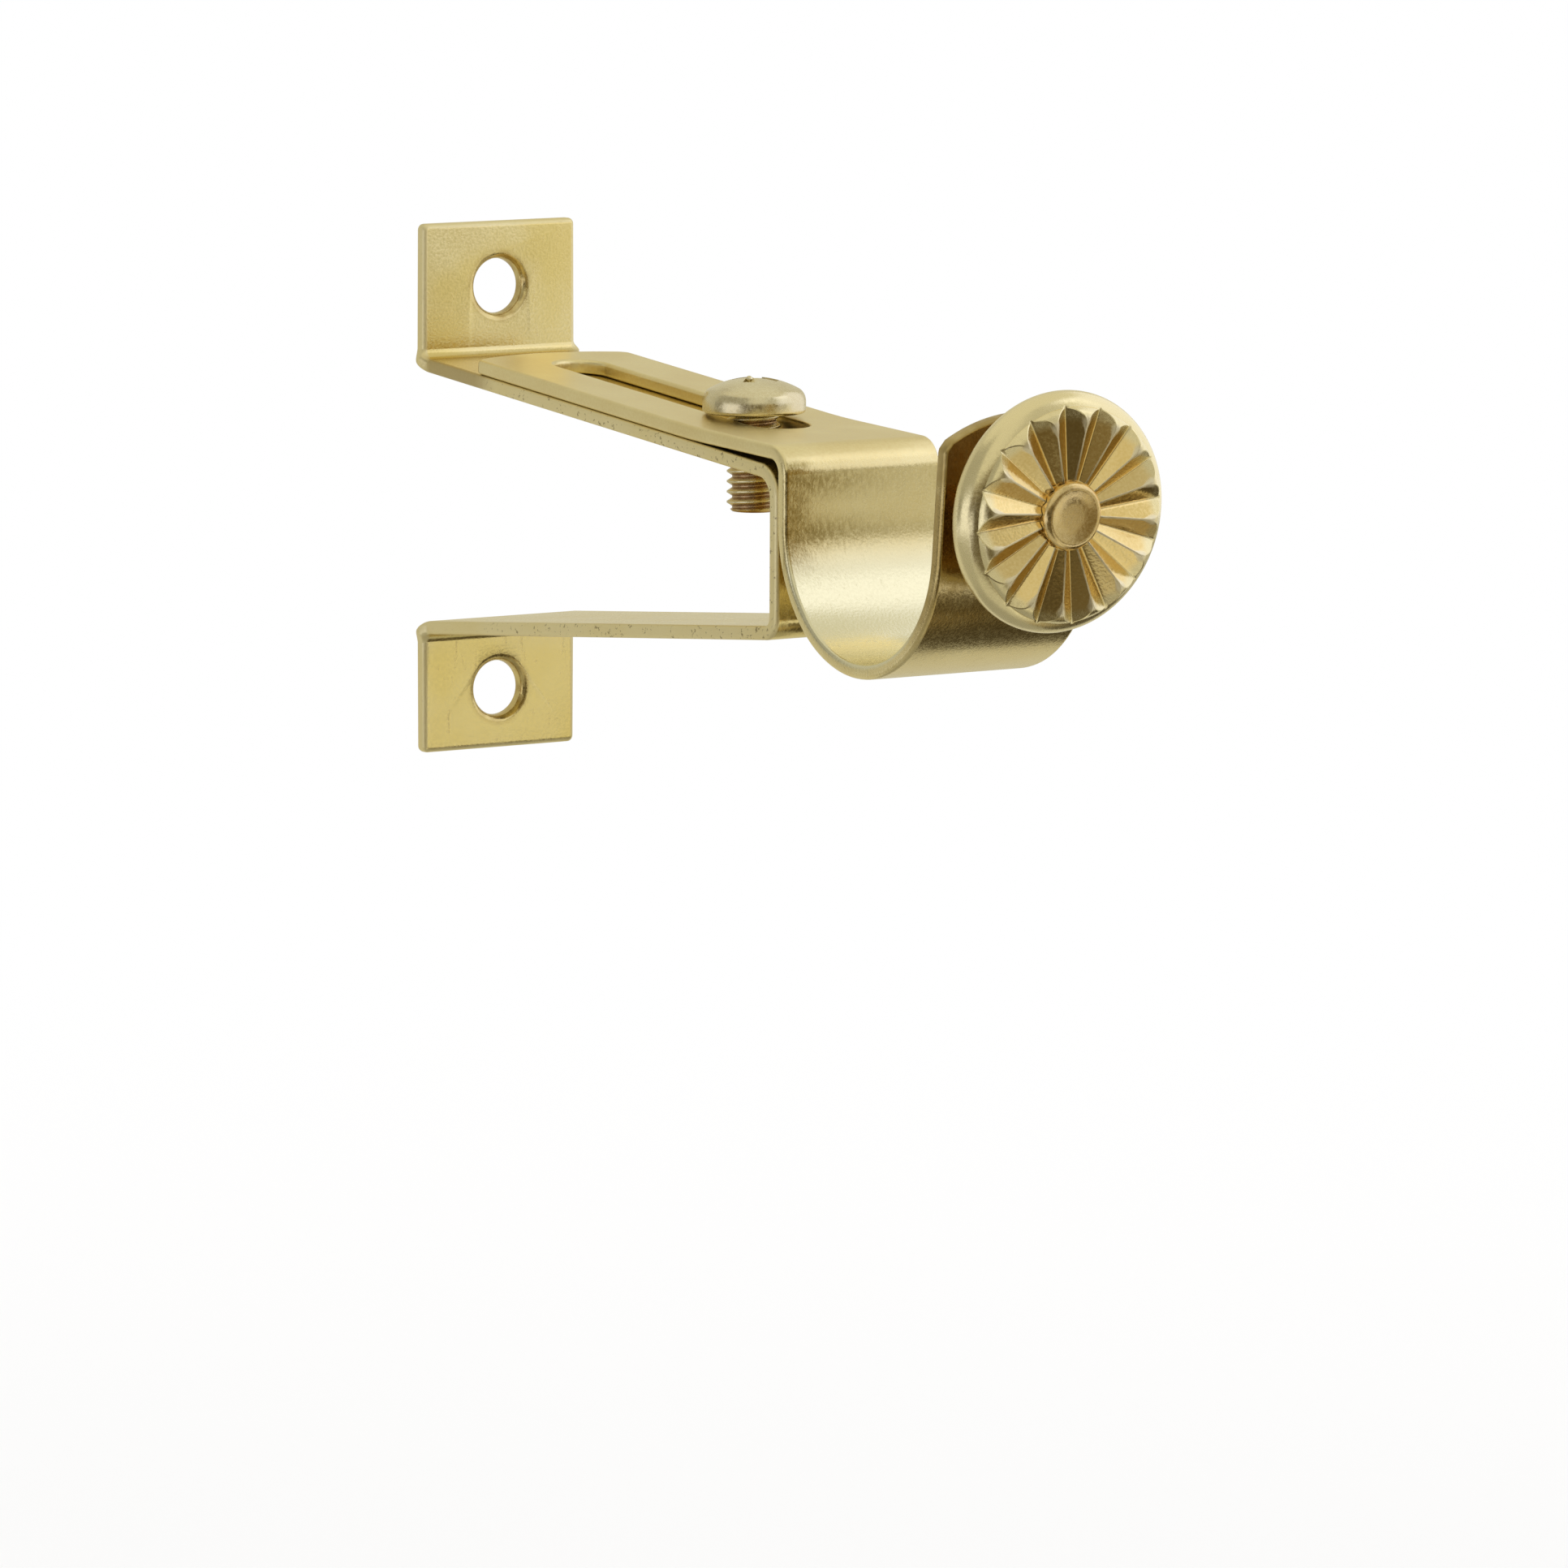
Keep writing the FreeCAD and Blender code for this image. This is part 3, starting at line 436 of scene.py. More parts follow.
def pole_arm_piece():
    """The pole arm, from its end at the wall over the bracket's front and round the cup."""
    strip = Strip((ARM_START, arm_top(ARM_START)), -LEG_ANGLE)
    outer = ARM_BEND_RADIUS + ARM_THICKNESS
    lift_start = SCREW_REACH + LIFT_BEYOND_SCREW
    spring_reach = SPRING_RADIUS * math.tan(ARM_LIFT / 2)
    strip.straight((lift_start - ARM_START) / math.cos(LEG_ANGLE) - spring_reach)
    strip.bend(SPRING_RADIUS, ARM_LIFT)
    lifted_angle = LEG_ANGLE - ARM_LIFT
    turn = math.pi / 2 - lifted_angle
    reach = outer * math.tan(turn / 2)
    strip.straight((CUP_BACK - lift_start) / math.cos(lifted_angle) - spring_reach - reach)
    strip.bend(outer, -turn)
    strip.straight(strip.point.y - CUP_HEIGHT)
    strip.bend(CUP_RADIUS, math.pi - WALL_LEAN)
    strip.straight((LIP_HEIGHT - strip.point.y) / math.cos(WALL_LEAN))
    half = STRIP_WIDTH / 2
    near = bow(half, 0, ARM_END_BOW, ARM_CORNER_RADIUS, False)
    far = bow(half, strip.run, LIP_BOW, ARM_CORNER_RADIUS, True)
    slot_half = SLOT_WIDTH / 2
    slot_runs = [(out - ARM_START) / math.cos(LEG_ANGLE) for out in (SLOT_START, SLOT_END)]
    slot = (arc_points((0, slot_runs[1]), slot_half, 0, math.pi, 25)
            + arc_points((0, slot_runs[0]), slot_half, math.pi, 2 * math.pi, 25))
    rivet_height = ROSETTE_HEIGHT + ARM_THICKNESS * math.sin(WALL_LEAN)
    rivet_run = strip.run - (LIP_HEIGHT - rivet_height) / math.cos(WALL_LEAN)
    hole_radius = RIVET_RADIUS + RIVET_CLEARANCE
    lips = [((0, rivet_run), hole_radius, RIVET_HOLE_LIP, RIVET_HOLE_LIP)]
    outlines = [near + far, slot, circle(0, rivet_run, hole_radius)]
    return folded_piece("arm_strip", strip, outlines, ARM_THICKNESS, lips)


def spin(name, profile, count):
    """A closed turned shape about Z from a profile of (radius, height), bottom to top outside."""
    shape = bmesh.new()
    rings = []
    for radius, height in profile:
        if radius < 1e-6:
            rings.append([shape.verts.new((0, 0, height))])
            continue
        rings.append([
            shape.verts.new((radius * math.cos(a), radius * math.sin(a), height))
            for a in (2 * math.pi * i / count for i in range(count))
        ])
    for lower, upper in zip(rings, rings[1:]):
        for i in range(count):
            j = (i + 1) % count
            corners = [ring[k % len(ring)] for ring, k in ((lower, i), (lower, j), (upper, j), (upper, i))]
            shape.faces.new(list(dict.fromkeys(corners)))
    if len(rings[0]) > 1:
        shape.faces.new(list(reversed(rings[0])))
    if len(rings[-1]) > 1:
        shape.faces.new(rings[-1])
    bmesh.ops.recalc_face_normals(shape, faces=shape.faces)
    return mesh_of(shape, name)


# Node trees

class Nodes:
    """A node tree with short ways to add to it."""

    def __init__(self, tree):
        self.tree = tree
        self.nodes = tree.nodes

    def give(self, socket, value):
        """Sets a socket's value, or links another node's output to it."""
        if isinstance(value, bpy.types.NodeSocket):
            self.tree.links.new(value, socket)
        else:
            socket.default_value = value

    def add(self, kind, inputs=None, **settings):
        node = self.nodes.new(kind)
        for name, value in settings.items():
            setattr(node, name, value)
        for label, value in (inputs or {}).items():
            self.give(node.inputs[label], value)
        return node

    def math(self, operation, first, second=0.0):
        return self.add("ShaderNodeMath", {0: first, 1: second}, operation=operation).outputs[0]

    def plus(self, first, second):
        return self.math("ADD", first, second)

    def minus(self, first, second):
        return self.math("SUBTRACT", first, second)

    def times(self, first, second):
        return self.math("MULTIPLY", first, second)


class ShapeTree(Nodes):
    """A geometry node tree with named inputs for its sizes."""

    def __init__(self, name, sizes):
        super().__init__(bpy.data.node_groups.new(name, "GeometryNodeTree"))
        self.ids = {}
        for way in ("INPUT", "OUTPUT"):
            self.tree.interface.new_socket("Geometry", in_out=way, socket_type="NodeSocketGeometry")
        for label, value in sizes.items():
            kind = "NodeSocketInt" if isinstance(value, int) else "NodeSocketFloat"
            socket = self.tree.interface.new_socket(label, in_out="INPUT", socket_type=kind)
            socket.default_value = value
            self.ids[label] = socket.identifier
        self.given = self.add("NodeGroupInput").outputs
        self.result = self.add("NodeGroupOutput").inputs

    def end(self, geometry, material):
        """Gives the shape its material and hands it out."""
        painted = self.add("GeometryNodeSetMaterial", {"Geometry": geometry, "Material": material})
        self.give(self.result[0], painted.outputs[0])

    def apply(self, piece, values):
        modifier = piece.modifiers.new(self.tree.name, "NODES")
        modifier.node_group = self.tree
        for label, value in values.items():
            modifier[self.ids[label]] = value
        bake(piece)


def around_tree(material):
    """Repeats a wedge of a turned piece round the Z axis and joins the wedges."""
    tree = ShapeTree("Around", {"Count": 16, "Turn": 0.0, "Join": 0.001})
    given = tree.given
    places = tree.add("GeometryNodePoints", {"Count": given["Count"]})
    step = tree.math("DIVIDE", 2 * math.pi, given["Count"])
    index = tree.add("GeometryNodeInputIndex").outputs[0]
    turn = tree.add("ShaderNodeCombineXYZ", {"Z": tree.plus(tree.times(index, step), given["Turn"])})
    wedges = tree.add("GeometryNodeInstanceOnPoints", {
        "Points": places.outputs[0], "Instance": given["Geometry"], "Rotation": turn.outputs[0],
    })
    real = tree.add("GeometryNodeRealizeInstances", {"Geometry": wedges.outputs[0]})
    joined = tree.add("GeometryNodeMergeByDistance", {
        "Geometry": real.outputs[0], "Distance": given["Join"],
    })
    tree.end(joined.outputs[0], material)
    return tree


def where_circles_meet(first, first_radius, second, second_radius):
    """The outer meeting point of two circles."""
    between = Vector(second) - Vector(first)
    apart = between.length
    along = (first_radius ** 2 - second_radius ** 2 + apart ** 2) / 2 / apart
    aside = math.sqrt(first_radius ** 2 - along ** 2)
    between.normalize()
    return Vector(first) + along * between + aside * Vector((between.y, -between.x))


class RosetteSection:
    """The rosette's section at an angle from the middle of a flute, as points of (radius, height)."""

    CROWN = FLUTE_FLOOR + CROWN_HEIGHT
    RIM = (ROSETTE_RADIUS - RIM_RADIUS, DISC_STAND_OFF + RIM_RADIUS)
    EDGE = (CROWN_RADIUS, CROWN - CROWN_EDGE)
    SEAT = RIVET_HEAD_RADIUS + RIVET_CLEARANCE
    BORE = RIVET_RADIUS + RIVET_CLEARANCE
    HALF_FLUTE = math.pi / FLUTE_COUNT
    # A ridge's worn half width, and how round a flute's valley is
    WORN = 0.06
    VALLEY = 0.07
    RIM_STEP = math.radians(40)
    FLUTE_STEPS = 12
    BODY_STEPS = (3, 8, 6, 26)

    def __init__(self):
        corner = where_circles_meet(self.RIM, RIM_RADIUS, self.EDGE, CROWN_EDGE)
        self.edge_end = math.atan2(corner.y - self.EDGE[1], corner.x - self.EDGE[0])
        self.rim_start = math.atan2(corner.y - self.RIM[1], corner.x - self.RIM[0])
        self.flat = CROWN_RADIUS - self.SEAT
        self.to_corner = self.flat + CROWN_EDGE * (math.pi / 2 - self.edge_end)
        self.to_back = self.to_corner + RIM_RADIUS * (self.rim_start + math.pi / 2)

    def body(self, run):
        """The unfluted body's outline, by the distance run from the rivet's seat."""
        if run <= self.flat:
            return self.SEAT + run, self.CROWN
        if run <= self.to_corner:
            angle = math.pi / 2 - (run - self.flat) / CROWN_EDGE
            return self.EDGE[0] + CROWN_EDGE * math.cos(angle), self.EDGE[1] + CROWN_EDGE * math.sin(angle)
        angle = self.rim_start - (run - self.to_corner) / RIM_RADIUS
        return self.RIM[0] + RIM_RADIUS * math.cos(angle), self.RIM[1] + RIM_RADIUS * math.sin(angle)

    def flank(self, angle, radius):
        aside = math.hypot(radius * math.sin(angle), self.VALLEY) - self.VALLEY
        return FLUTE_FLOOR + aside / math.tan(FLUTE_ANGLE / 2)

    def run_out(self, angle_at):
        """The distance run along the body's outline at which the flute's flank comes out of it."""
        low, high = 0.0, self.to_back
        for _ in range(50):
            middle = (low + high) / 2
            radius, height = self.body(middle)
            if height > self.flank(angle_at(radius), radius):
                low = middle
            else:
                high = middle
        return low

    def rows(self, angle_at):
        """Radius and height from the rivet's seat over the flute and the rim, round the back and up again."""
        out = self.run_out(angle_at)
        last = self.body(out)[0] - self.WORN
        points = []
        for i in range(self.FLUTE_STEPS + 1):
            radius = self.SEAT + (last - self.SEAT) * i / self.FLUTE_STEPS
            points.append((radius, self.flank(angle_at(radius), radius)))
        start = out + self.WORN
        rim_step = self.to_corner + RIM_RADIUS * (self.rim_start - self.RIM_STEP)
        stops = [start, max(start, self.flat), max(start, self.to_corner), rim_step, self.to_back]
        points.append(self.body(start))
        for first, second, count in zip(stops, stops[1:], self.BODY_STEPS):
            points += [self.body(first + (second - first) * i / count) for i in range(1, count + 1)]
        points += [(HUB_RADIUS, DISC_STAND_OFF), (HUB_RADIUS, HUB_EASE), (HUB_RADIUS - HUB_EASE, 0),
                   (self.BORE, 0), (self.BORE, FLUTE_FLOOR), (self.SEAT, FLUTE_FLOOR)]
        return points


def rosette_wedge():
    """One flute of the rosette from ridge to ridge, with the rim and the back that belong to it."""
    section = RosetteSection()
    half = section.HALF_FLUTE

    def beside_ridge(radius):
        return half - section.WORN / radius

    shares = (0, 0.012, 0.026, 0.044, 0.07, 0.12, 0.22, 0.34, 0.46, 0.57, 0.66, 0.74, 0.8, 0.85, 0.885, 0.91,
              0.94, 0.965)
    columns = [(lambda radius, share=share: share * half) for share in shares]
    columns += [beside_ridge, lambda radius: half]
    profiles = [section.rows(column) for column in columns[:-1]]
    profiles.append(profiles[-1])
    shape = bmesh.new()
    known = {}

    def vertex(angle, point):
        radius, height = point
        place = Vector((radius * math.sin(angle), radius * math.cos(angle), height))
        key = tuple(round(value, 5) for value in place)
        if key not in known:
            known[key] = shape.verts.new(place)
        return known[key]

    for side in (1, -1):
        grid = [
            [vertex(side * column(point[0]), point) for point in profile]
            for column, profile in zip(columns, profiles)
        ]
        for one, other in zip(grid, grid[1:]):
            for i in range(len(one)):
                j = (i + 1) % len(one)
                ring = [one[i], one[j], other[j], other[i]]
                face = list(dict.fromkeys(ring if side > 0 else ring[::-1]))
                if len(face) > 2 and not shape.faces.get(face):
                    shape.faces.new(face)
    return mesh_of(shape, "rosette_disc")


def stand_on_cup(mesh):
    """Sets a turned piece on the rosette's axis, its origin on the outside of the cup's front wall."""
    to_place(mesh, (0, -ROSETTE_OUT, ROSETTE_HEIGHT), Matrix.Rotation(math.pi / 2 + WALL_LEAN, 4, "X"))


def rosette_piece(material):
    piece = new_object("rosette_disc", rosette_wedge())
    around_tree(material).apply(piece, {"Count": FLUTE_COUNT, "Turn": ROSETTE_TURN, "Join": WEDGE_JOIN})
    shape = bmesh.new()
    shape.from_mesh(piece.data)
    bmesh.ops.recalc_face_normals(shape, faces=shape.faces)
    shape.to_mesh(piece.data)
    shape.free()
    shade(piece.data, 20)
    stand_on_cup(piece.data)
    return piece


def rivet_piece():
    face = FLUTE_FLOOR + RIVET_HEAD_HEIGHT
    end = -ARM_THICKNESS - CLENCH_HEIGHT
    clench, edge = CLENCH_EDGE, RIVET_HEAD_EDGE
    profile = [(0, end)]
    profile += arc_points((CLENCH_RADIUS - clench, end + clench), clench, -math.pi / 2, 0, 8)
    profile += [(CLENCH_RADIUS, -ARM_THICKNESS), (RIVET_RADIUS, -ARM_THICKNESS), (RIVET_RADIUS, FLUTE_FLOOR)]
    profile += [(RIVET_HEAD_RADIUS, FLUTE_FLOOR)]
    profile += arc_points((RIVET_HEAD_RADIUS - edge, face - edge), edge, 0, math.pi / 2, 12)
    profile += [(RIVET_DISH_RADIUS, face), (RIVET_DISH_RADIUS - DISH_WALL, face - RIVET_DISH_DEPTH),
                (DISH_MIDDLE_RADIUS, face - DISH_MIDDLE_SHARE * RIVET_DISH_DEPTH),
                (0, face - DISH_CENTRE_SHARE * RIVET_DISH_DEPTH)]
    piece = new_object("rivet", spin("rivet", profile, 96))
    shade(piece.data, 40)
    stand_on_cup(piece.data)
    return piece


def recess_cutter(top):
    """The cross recess as a solid: two wings that taper downwards."""
    wings = bmesh.new()
    levels = ((RECESS_FLOOR, top - RECESS_DEPTH), (RECESS_MOUTH, top + RECESS_ABOVE_HEAD))
    for quarter in (0, 1):
        turn = Matrix.Rotation(math.pi / 2 * quarter + RECESS_TURN, 3, "Z")
        rings = []
        for (span, width), height in levels:
            corners = [Vector((x * RECESS_SPAN * span, y * RECESS_WIDTH * width, height))
                       for x, y in ((1, 1), (-1, 1), (-1, -1), (1, -1))]
            rings.append([wings.verts.new(turn @ corner) for corner in corners])
        low, high = rings
        wings.faces.new(low[::-1])
        wings.faces.new(high)
        for j in range(4):
            k = (j + 1) % 4
            wings.faces.new((low[j], low[k], high[k], high[j]))
    bmesh.ops.recalc_face_normals(wings, faces=wings.faces)
    return new_object("recess", mesh_of(wings, "recess"))


def add_burr(mesh, top):
    """A small bead of metal thrown up at the edge of the cross recess."""
    shape = bmesh.new()
    shape.from_mesh(mesh)
    centre = Matrix.Translation((*BURR_PLACE, top - BURR_SUNK))
    bmesh.ops.create_icosphere(shape, subdivisions=3, radius=BURR_RADIUS, matrix=centre)
    shape.to_mesh(mesh)
    shape.free()


def head_profile(dome_steps=40, shoulder_steps=12):
    """Half the screw head's section: flat seat, round lower edge, soft shoulder and dome."""
    head = HEAD_DIAMETER / 2
    sphere = (head ** 2 + HEAD_DOME ** 2) / 2 / HEAD_DOME
    top = HEAD_SIDE + HEAD_DOME
    reach = math.asin(head / sphere) * HEAD_DOME_SHARE
    dome = [(sphere * math.sin(a), top - sphere + sphere * math.cos(a))
            for a in (reach * (1 - i / dome_steps) for i in range(dome_steps))]
    begin, corner = Vector((head, HEAD_SIDE - HEAD_SHOULDER)), Vector((head, HEAD_SIDE))
    shoulder = [begin]
    for i in range(1, shoulder_steps):
        share = i / shoulder_steps
        shoulder.append(begin.lerp(corner, share).lerp(corner.lerp(Vector(dome[0]), share), share))
    edge = arc_points((head - HEAD_EDGE, HEAD_EDGE), HEAD_EDGE, -math.pi / 2, 0, 8)
    return [(0, 0), *edge, *(tuple(point) for point in shoulder), *dome, (0, top)]


def screw_head_piece():
    profile = head_profile()
    top = profile[-1][1]
    piece = new_object("screw_head", spin("screw_head", profile, 160))
    shade(piece.data, 35)
    driver = recess_cutter(top)
    cut = piece.modifiers.new("Recess", "BOOLEAN")
    cut.object = driver
    cut.operation = "DIFFERENCE"
    cut.solver = "EXACT"
    cut.use_self = True
    bake(piece)
    bpy.data.objects.remove(driver)
    add_burr(piece.data, top)
    shade(piece.data, 35)
    to_place(piece.data, (0, -SCREW_REACH, SCREW_SEAT))
    return piece


def thread_tree(material):
    """A turned shank with a helical thread: a tube whose radius follows the turn and the height."""
    tree = ShapeTree("Thread", {
        "Radius": 1.0, "Depth": 0.1, "Pitch": 1.0, "Length": 1.0, "Chamfer": 0.1, "Around": 96, "Along": 200,
    })
    given = tree.given
    full = given["Radius"]
    tube = tree.add("GeometryNodeMeshCylinder", {
        "Vertices": given["Around"], "Side Segments": given["Along"],
        "Radius": full, "Depth": given["Length"],
    }, fill_type="NGON")
    place = tree.add("GeometryNodeInputPosition").outputs[0]
    x, y, z = tree.add("ShaderNodeSeparateXYZ", {0: place}).outputs
    turn = tree.math("DIVIDE", tree.math("ARCTAN2", y, x), 2 * math.pi)
    phase = tree.math("FRACT", tree.minus(tree.math("DIVIDE", z, given["Pitch"]), turn))
    ramp = tree.add("ShaderNodeMapRange", {
        "Value": tree.times(tree.math("ABSOLUTE", tree.minus(phase, 0.5)), 2.0),
        "From Min": THREAD_CREST, "From Max": THREAD_GROOVE, "To Min": 0.0, "To Max": 1.0,
    }, interpolation_type="LINEAR")
    threaded = tree.minus(full, tree.times(ramp.outputs[0], given["Depth"]))
    above_end = tree.plus(z, tree.math("DIVIDE", given["Length"], 2.0))
    tip = tree.plus(above_end, tree.minus(full, given["Chamfer"]))
    scale = tree.math("DIVIDE", tree.math("MINIMUM", threaded, tip), full)
    moved = tree.add("ShaderNodeCombineXYZ", {"X": tree.times(x, scale), "Y": tree.times(y, scale), "Z": z})
    cut = tree.add("GeometryNodeSetPosition", {
        "Geometry": tube.outputs["Mesh"], "Position": moved.outputs[0],
    })
    real = tree.add("GeometryNodeRealizeInstances", {"Geometry": cut.outputs[0]})
    tree.end(real.outputs[0], material)
    return tree


def screw_shank_piece(material):
    piece = new_object("screw_shank", bpy.data.meshes.new("screw_shank"))
    length = SCREW_LENGTH + SHANK_IN_HEAD
    thread_tree(material).apply(piece, {
        "Radius": SCREW_DIAMETER / 2, "Depth": THREAD_DEPTH, "Pitch": THREAD_PITCH, "Length": length,
        "Chamfer": SCREW_CHAMFER, "Around": 96, "Along": 220,
    })
    shade(piece.data, 50)
    to_place(piece.data, (0, -SCREW_REACH, SCREW_SEAT + SHANK_IN_HEAD - length / 2))
    return piece


# Materials

ARM_LIGHT = (0.93, 0.82, 0.49)
ARM_DARK = (0.84, 0.70, 0.37)
# Painted shade: dark bands of reflection on the cup's back wall
BAND_SHADE = (0.38, 0.28, 0.09)
# Painted highlight: a pale tone low inside the cup
CUP_HIGHLIGHT = (0.85, 0.80, 0.57)
# Painted shade on the cup's front wall
FRONT_WALL_SHADE = (0.47, 0.35, 0.14)
BRACKET_LIGHT = (0.91, 0.79, 0.45)
BRACKET_DARK = (0.83, 0.69, 0.34)
YELLOW_CLOUD = (0.84, 0.68, 0.27)
YELLOW_FOOT = (0.86, 0.69, 0.25)
# Pale edges: wear, and a painted highlight along them
EDGE_WEAR_AND_HIGHLIGHT = (0.94, 0.87, 0.62)
HOLE_RING = (0.48, 0.34, 0.13)
SIDE_DIRT = (0.34, 0.27, 0.14)
# Painted shade on the top leg by the upper wall bend
LEG_ROOT_SHADE = (0.42, 0.31, 0.13)
ROSETTE_LIGHT = (0.94, 0.75, 0.38)
ROSETTE_DARK = (0.82, 0.61, 0.25)
ROSETTE_RIM = (0.90, 0.79, 0.48)
# Whitish ridges: wear, and a painted highlight along them
RIDGE_WEAR_AND_HIGHLIGHT = (0.95, 0.88, 0.68)
SCREW_LIGHT = (0.87, 0.80, 0.57)
SCREW_DARK = (0.72, 0.62, 0.40)
# Painted shade in the thread's grooves
THREAD_GROOVE_SHADE = (0.46, 0.32, 0.19)
RIVET_LIGHT = (0.86, 0.68, 0.36)
RIVET_DARK = (0.68, 0.49, 0.21)

# Grains to the metre
PATCHES = 170
SPECKS = 4600
SCRATCHES = 2600


class Finish(Nodes):
    """The node tree of a metal finish: its colour and roughness, by places in millimetres."""

    def __init__(self, name):
        self.material = bpy.data.materials.new(name)
        self.material.use_nodes = True
        super().__init__(self.material.node_tree)
        self.shader = self.nodes["Principled BSDF"].inputs
        self.place = self.add("ShaderNodeTexCoord").outputs["Object"]

    def axis(self, label):
        """A coordinate in millimetres."""
        parts = self.add("ShaderNodeSeparateXYZ", {0: self.place})
        return self.math("DIVIDE", parts.outputs[label], MM)

    def distance(self, first, second):
        """How far a point is from an axis, by two coordinates square to it."""
        squares = [self.math("POWER", value, 2.0) for value in (first, second)]
        return self.math("SQRT", self.plus(*squares))

    def noise(self, scale, detail=2.0, stretch=(1, 1, 1), roughness=0.5):
        """Noise of a given number of grains to the metre, finer or coarser along each axis."""
        place = self.add("ShaderNodeMapping", {"Vector": self.place, "Scale": stretch}).outputs[0]
        node = self.add("ShaderNodeTexNoise", {
            "Vector": place, "Scale": scale, "Detail": detail, "Roughness": roughness,
        })
        return node.outputs["Fac"]

    def ramp(self, value, low, high, to_low=0.0, to_high=1.0):
        """A smooth step between two values; it falls where the first is the higher one."""
        return self.add("ShaderNodeMapRange", {
            "Value": value, "From Min": low, "From Max": high, "To Min": to_low, "To Max": to_high,
        }, interpolation_type="SMOOTHSTEP").outputs[0]

    def band(self, value, rise, fall):
        """Rises over one range and falls over another."""
        return self.times(self.ramp(value, *rise), self.ramp(value, *fall))

    def mix(self, factor, first, second):
        return self.add("ShaderNodeMix", {0: factor, 6: first, 7: second}, data_type="RGBA").outputs[2]

    def tint(self, factor, colour):
        """Lays another colour over what is there."""
        self.colour = self.mix(factor, self.colour, (*colour, 1))

    def dull(self, factor, amount):
        self.roughness = self.plus(self.roughness, self.times(factor, amount))

    def done(self):
        """Links the colour and the roughness to the shader."""
        self.give(self.shader["Base Color"], self.colour)
        self.give(self.shader["Roughness"], self.roughness)
        return self.material


def brass(name, light, dark, roughness, scratch=(1, 1, 1), grain_depth=0.006):
    """Pale brass plate: patches, fine specks and faint scratches."""
    paint = Finish(name)
    paint.shader["Metallic"].default_value = 1.0
    patches = paint.ramp(paint.noise(PATCHES, 3), 0.34, 0.68)
    specks = paint.ramp(paint.noise(SPECKS), 0.3, 0.72)
    scratches = paint.ramp(paint.noise(SCRATCHES, 2, scratch), 0.6, 0.74)
    lightness = paint.plus(paint.times(patches, 0.5), paint.times(specks, 0.5))
    paint.colour = paint.mix(lightness, (*dark, 1), (*light, 1))
    low, high = roughness
    paint.roughness = paint.plus(paint.times(specks, (high - low) * 0.6), low)
    paint.dull(scratches, (high - low) * 0.5)
    grain = paint.plus(specks, paint.times(scratches, 0.12))
    relief = paint.add("ShaderNodeBump", {"Strength": 0.6, "Distance": grain_depth * MM, "Height": grain})
    paint.give(paint.shader["Normal"], relief.outputs[0])
    return paint


def arm_finish():
    """The arm's plate: duller on top, painted shade in streaky bands on the cup's back wall, a painted
    highlight low inside the cup, and painted shade on the cup's front wall.
    """
    paint = brass("arm_brass", ARM_LIGHT, ARM_DARK, (0.18, 0.34), (1, 1, 0.08))
    across, out, up = [paint.axis(label) for label in "XYZ"]
    top = paint.ramp(up, 6.2, 7.2)
    paint.dull(top, 0.13)
    # Painted shade: dark streaky bands of reflection on the inside of the cup's back wall, stronger to the
    # left
    back_wall = paint.band(out, (-55.0, -53.6), (-52.2, -52.5))
    upper_band = paint.band(up, (3.0, 5.2), (6.6, 5.4))
    lower_band = paint.band(up, (-0.9, 1.0), (3.2, 1.4))
    left_side = paint.ramp(across, -4.2, -5.6, 0, 0.85)
    bands = paint.math("MAXIMUM", paint.plus(upper_band, lower_band), left_side)
    bands = paint.times(bands, paint.ramp(up, -3.0, -0.5))
    fade = paint.ramp(across, 5.5, -6.5, 0.12, 1.0)
    streaks = paint.ramp(paint.noise(3600, 5, (1, 1, 0.5), 0.75), 0.36, 0.62, 0.25, 1.0)
    band_shade = paint.times(paint.times(back_wall, bands), paint.times(fade, streaks))
    paint.tint(paint.times(band_shade, 0.9), BAND_SHADE)
    # Painted highlight: a paler, whiter tone low on the inside of the cup
    from_cup = paint.distance(paint.plus(out, CUP_CENTRE), paint.minus(up, CUP_HEIGHT))
    inside = paint.ramp(from_cup, CUP_RADIUS + 0.5, CUP_RADIUS + 0.2)
    paint.tint(paint.times(inside, paint.ramp(up, 1.0, -2.5)), CUP_HIGHLIGHT)
    # Painted shade on the cup's front wall, in clouds, standing for the rosette's shaded back seen in it
    front_wall = paint.times(paint.ramp(out, -67.5, -70.0), paint.ramp(up, -7.5, -2.5))
    cloud = paint.ramp(paint.noise(600, 4), 0.25, 0.6, 0.7, 1.0)
    paint.tint(paint.times(front_wall, cloud), FRONT_WALL_SHADE)
    return paint.done()


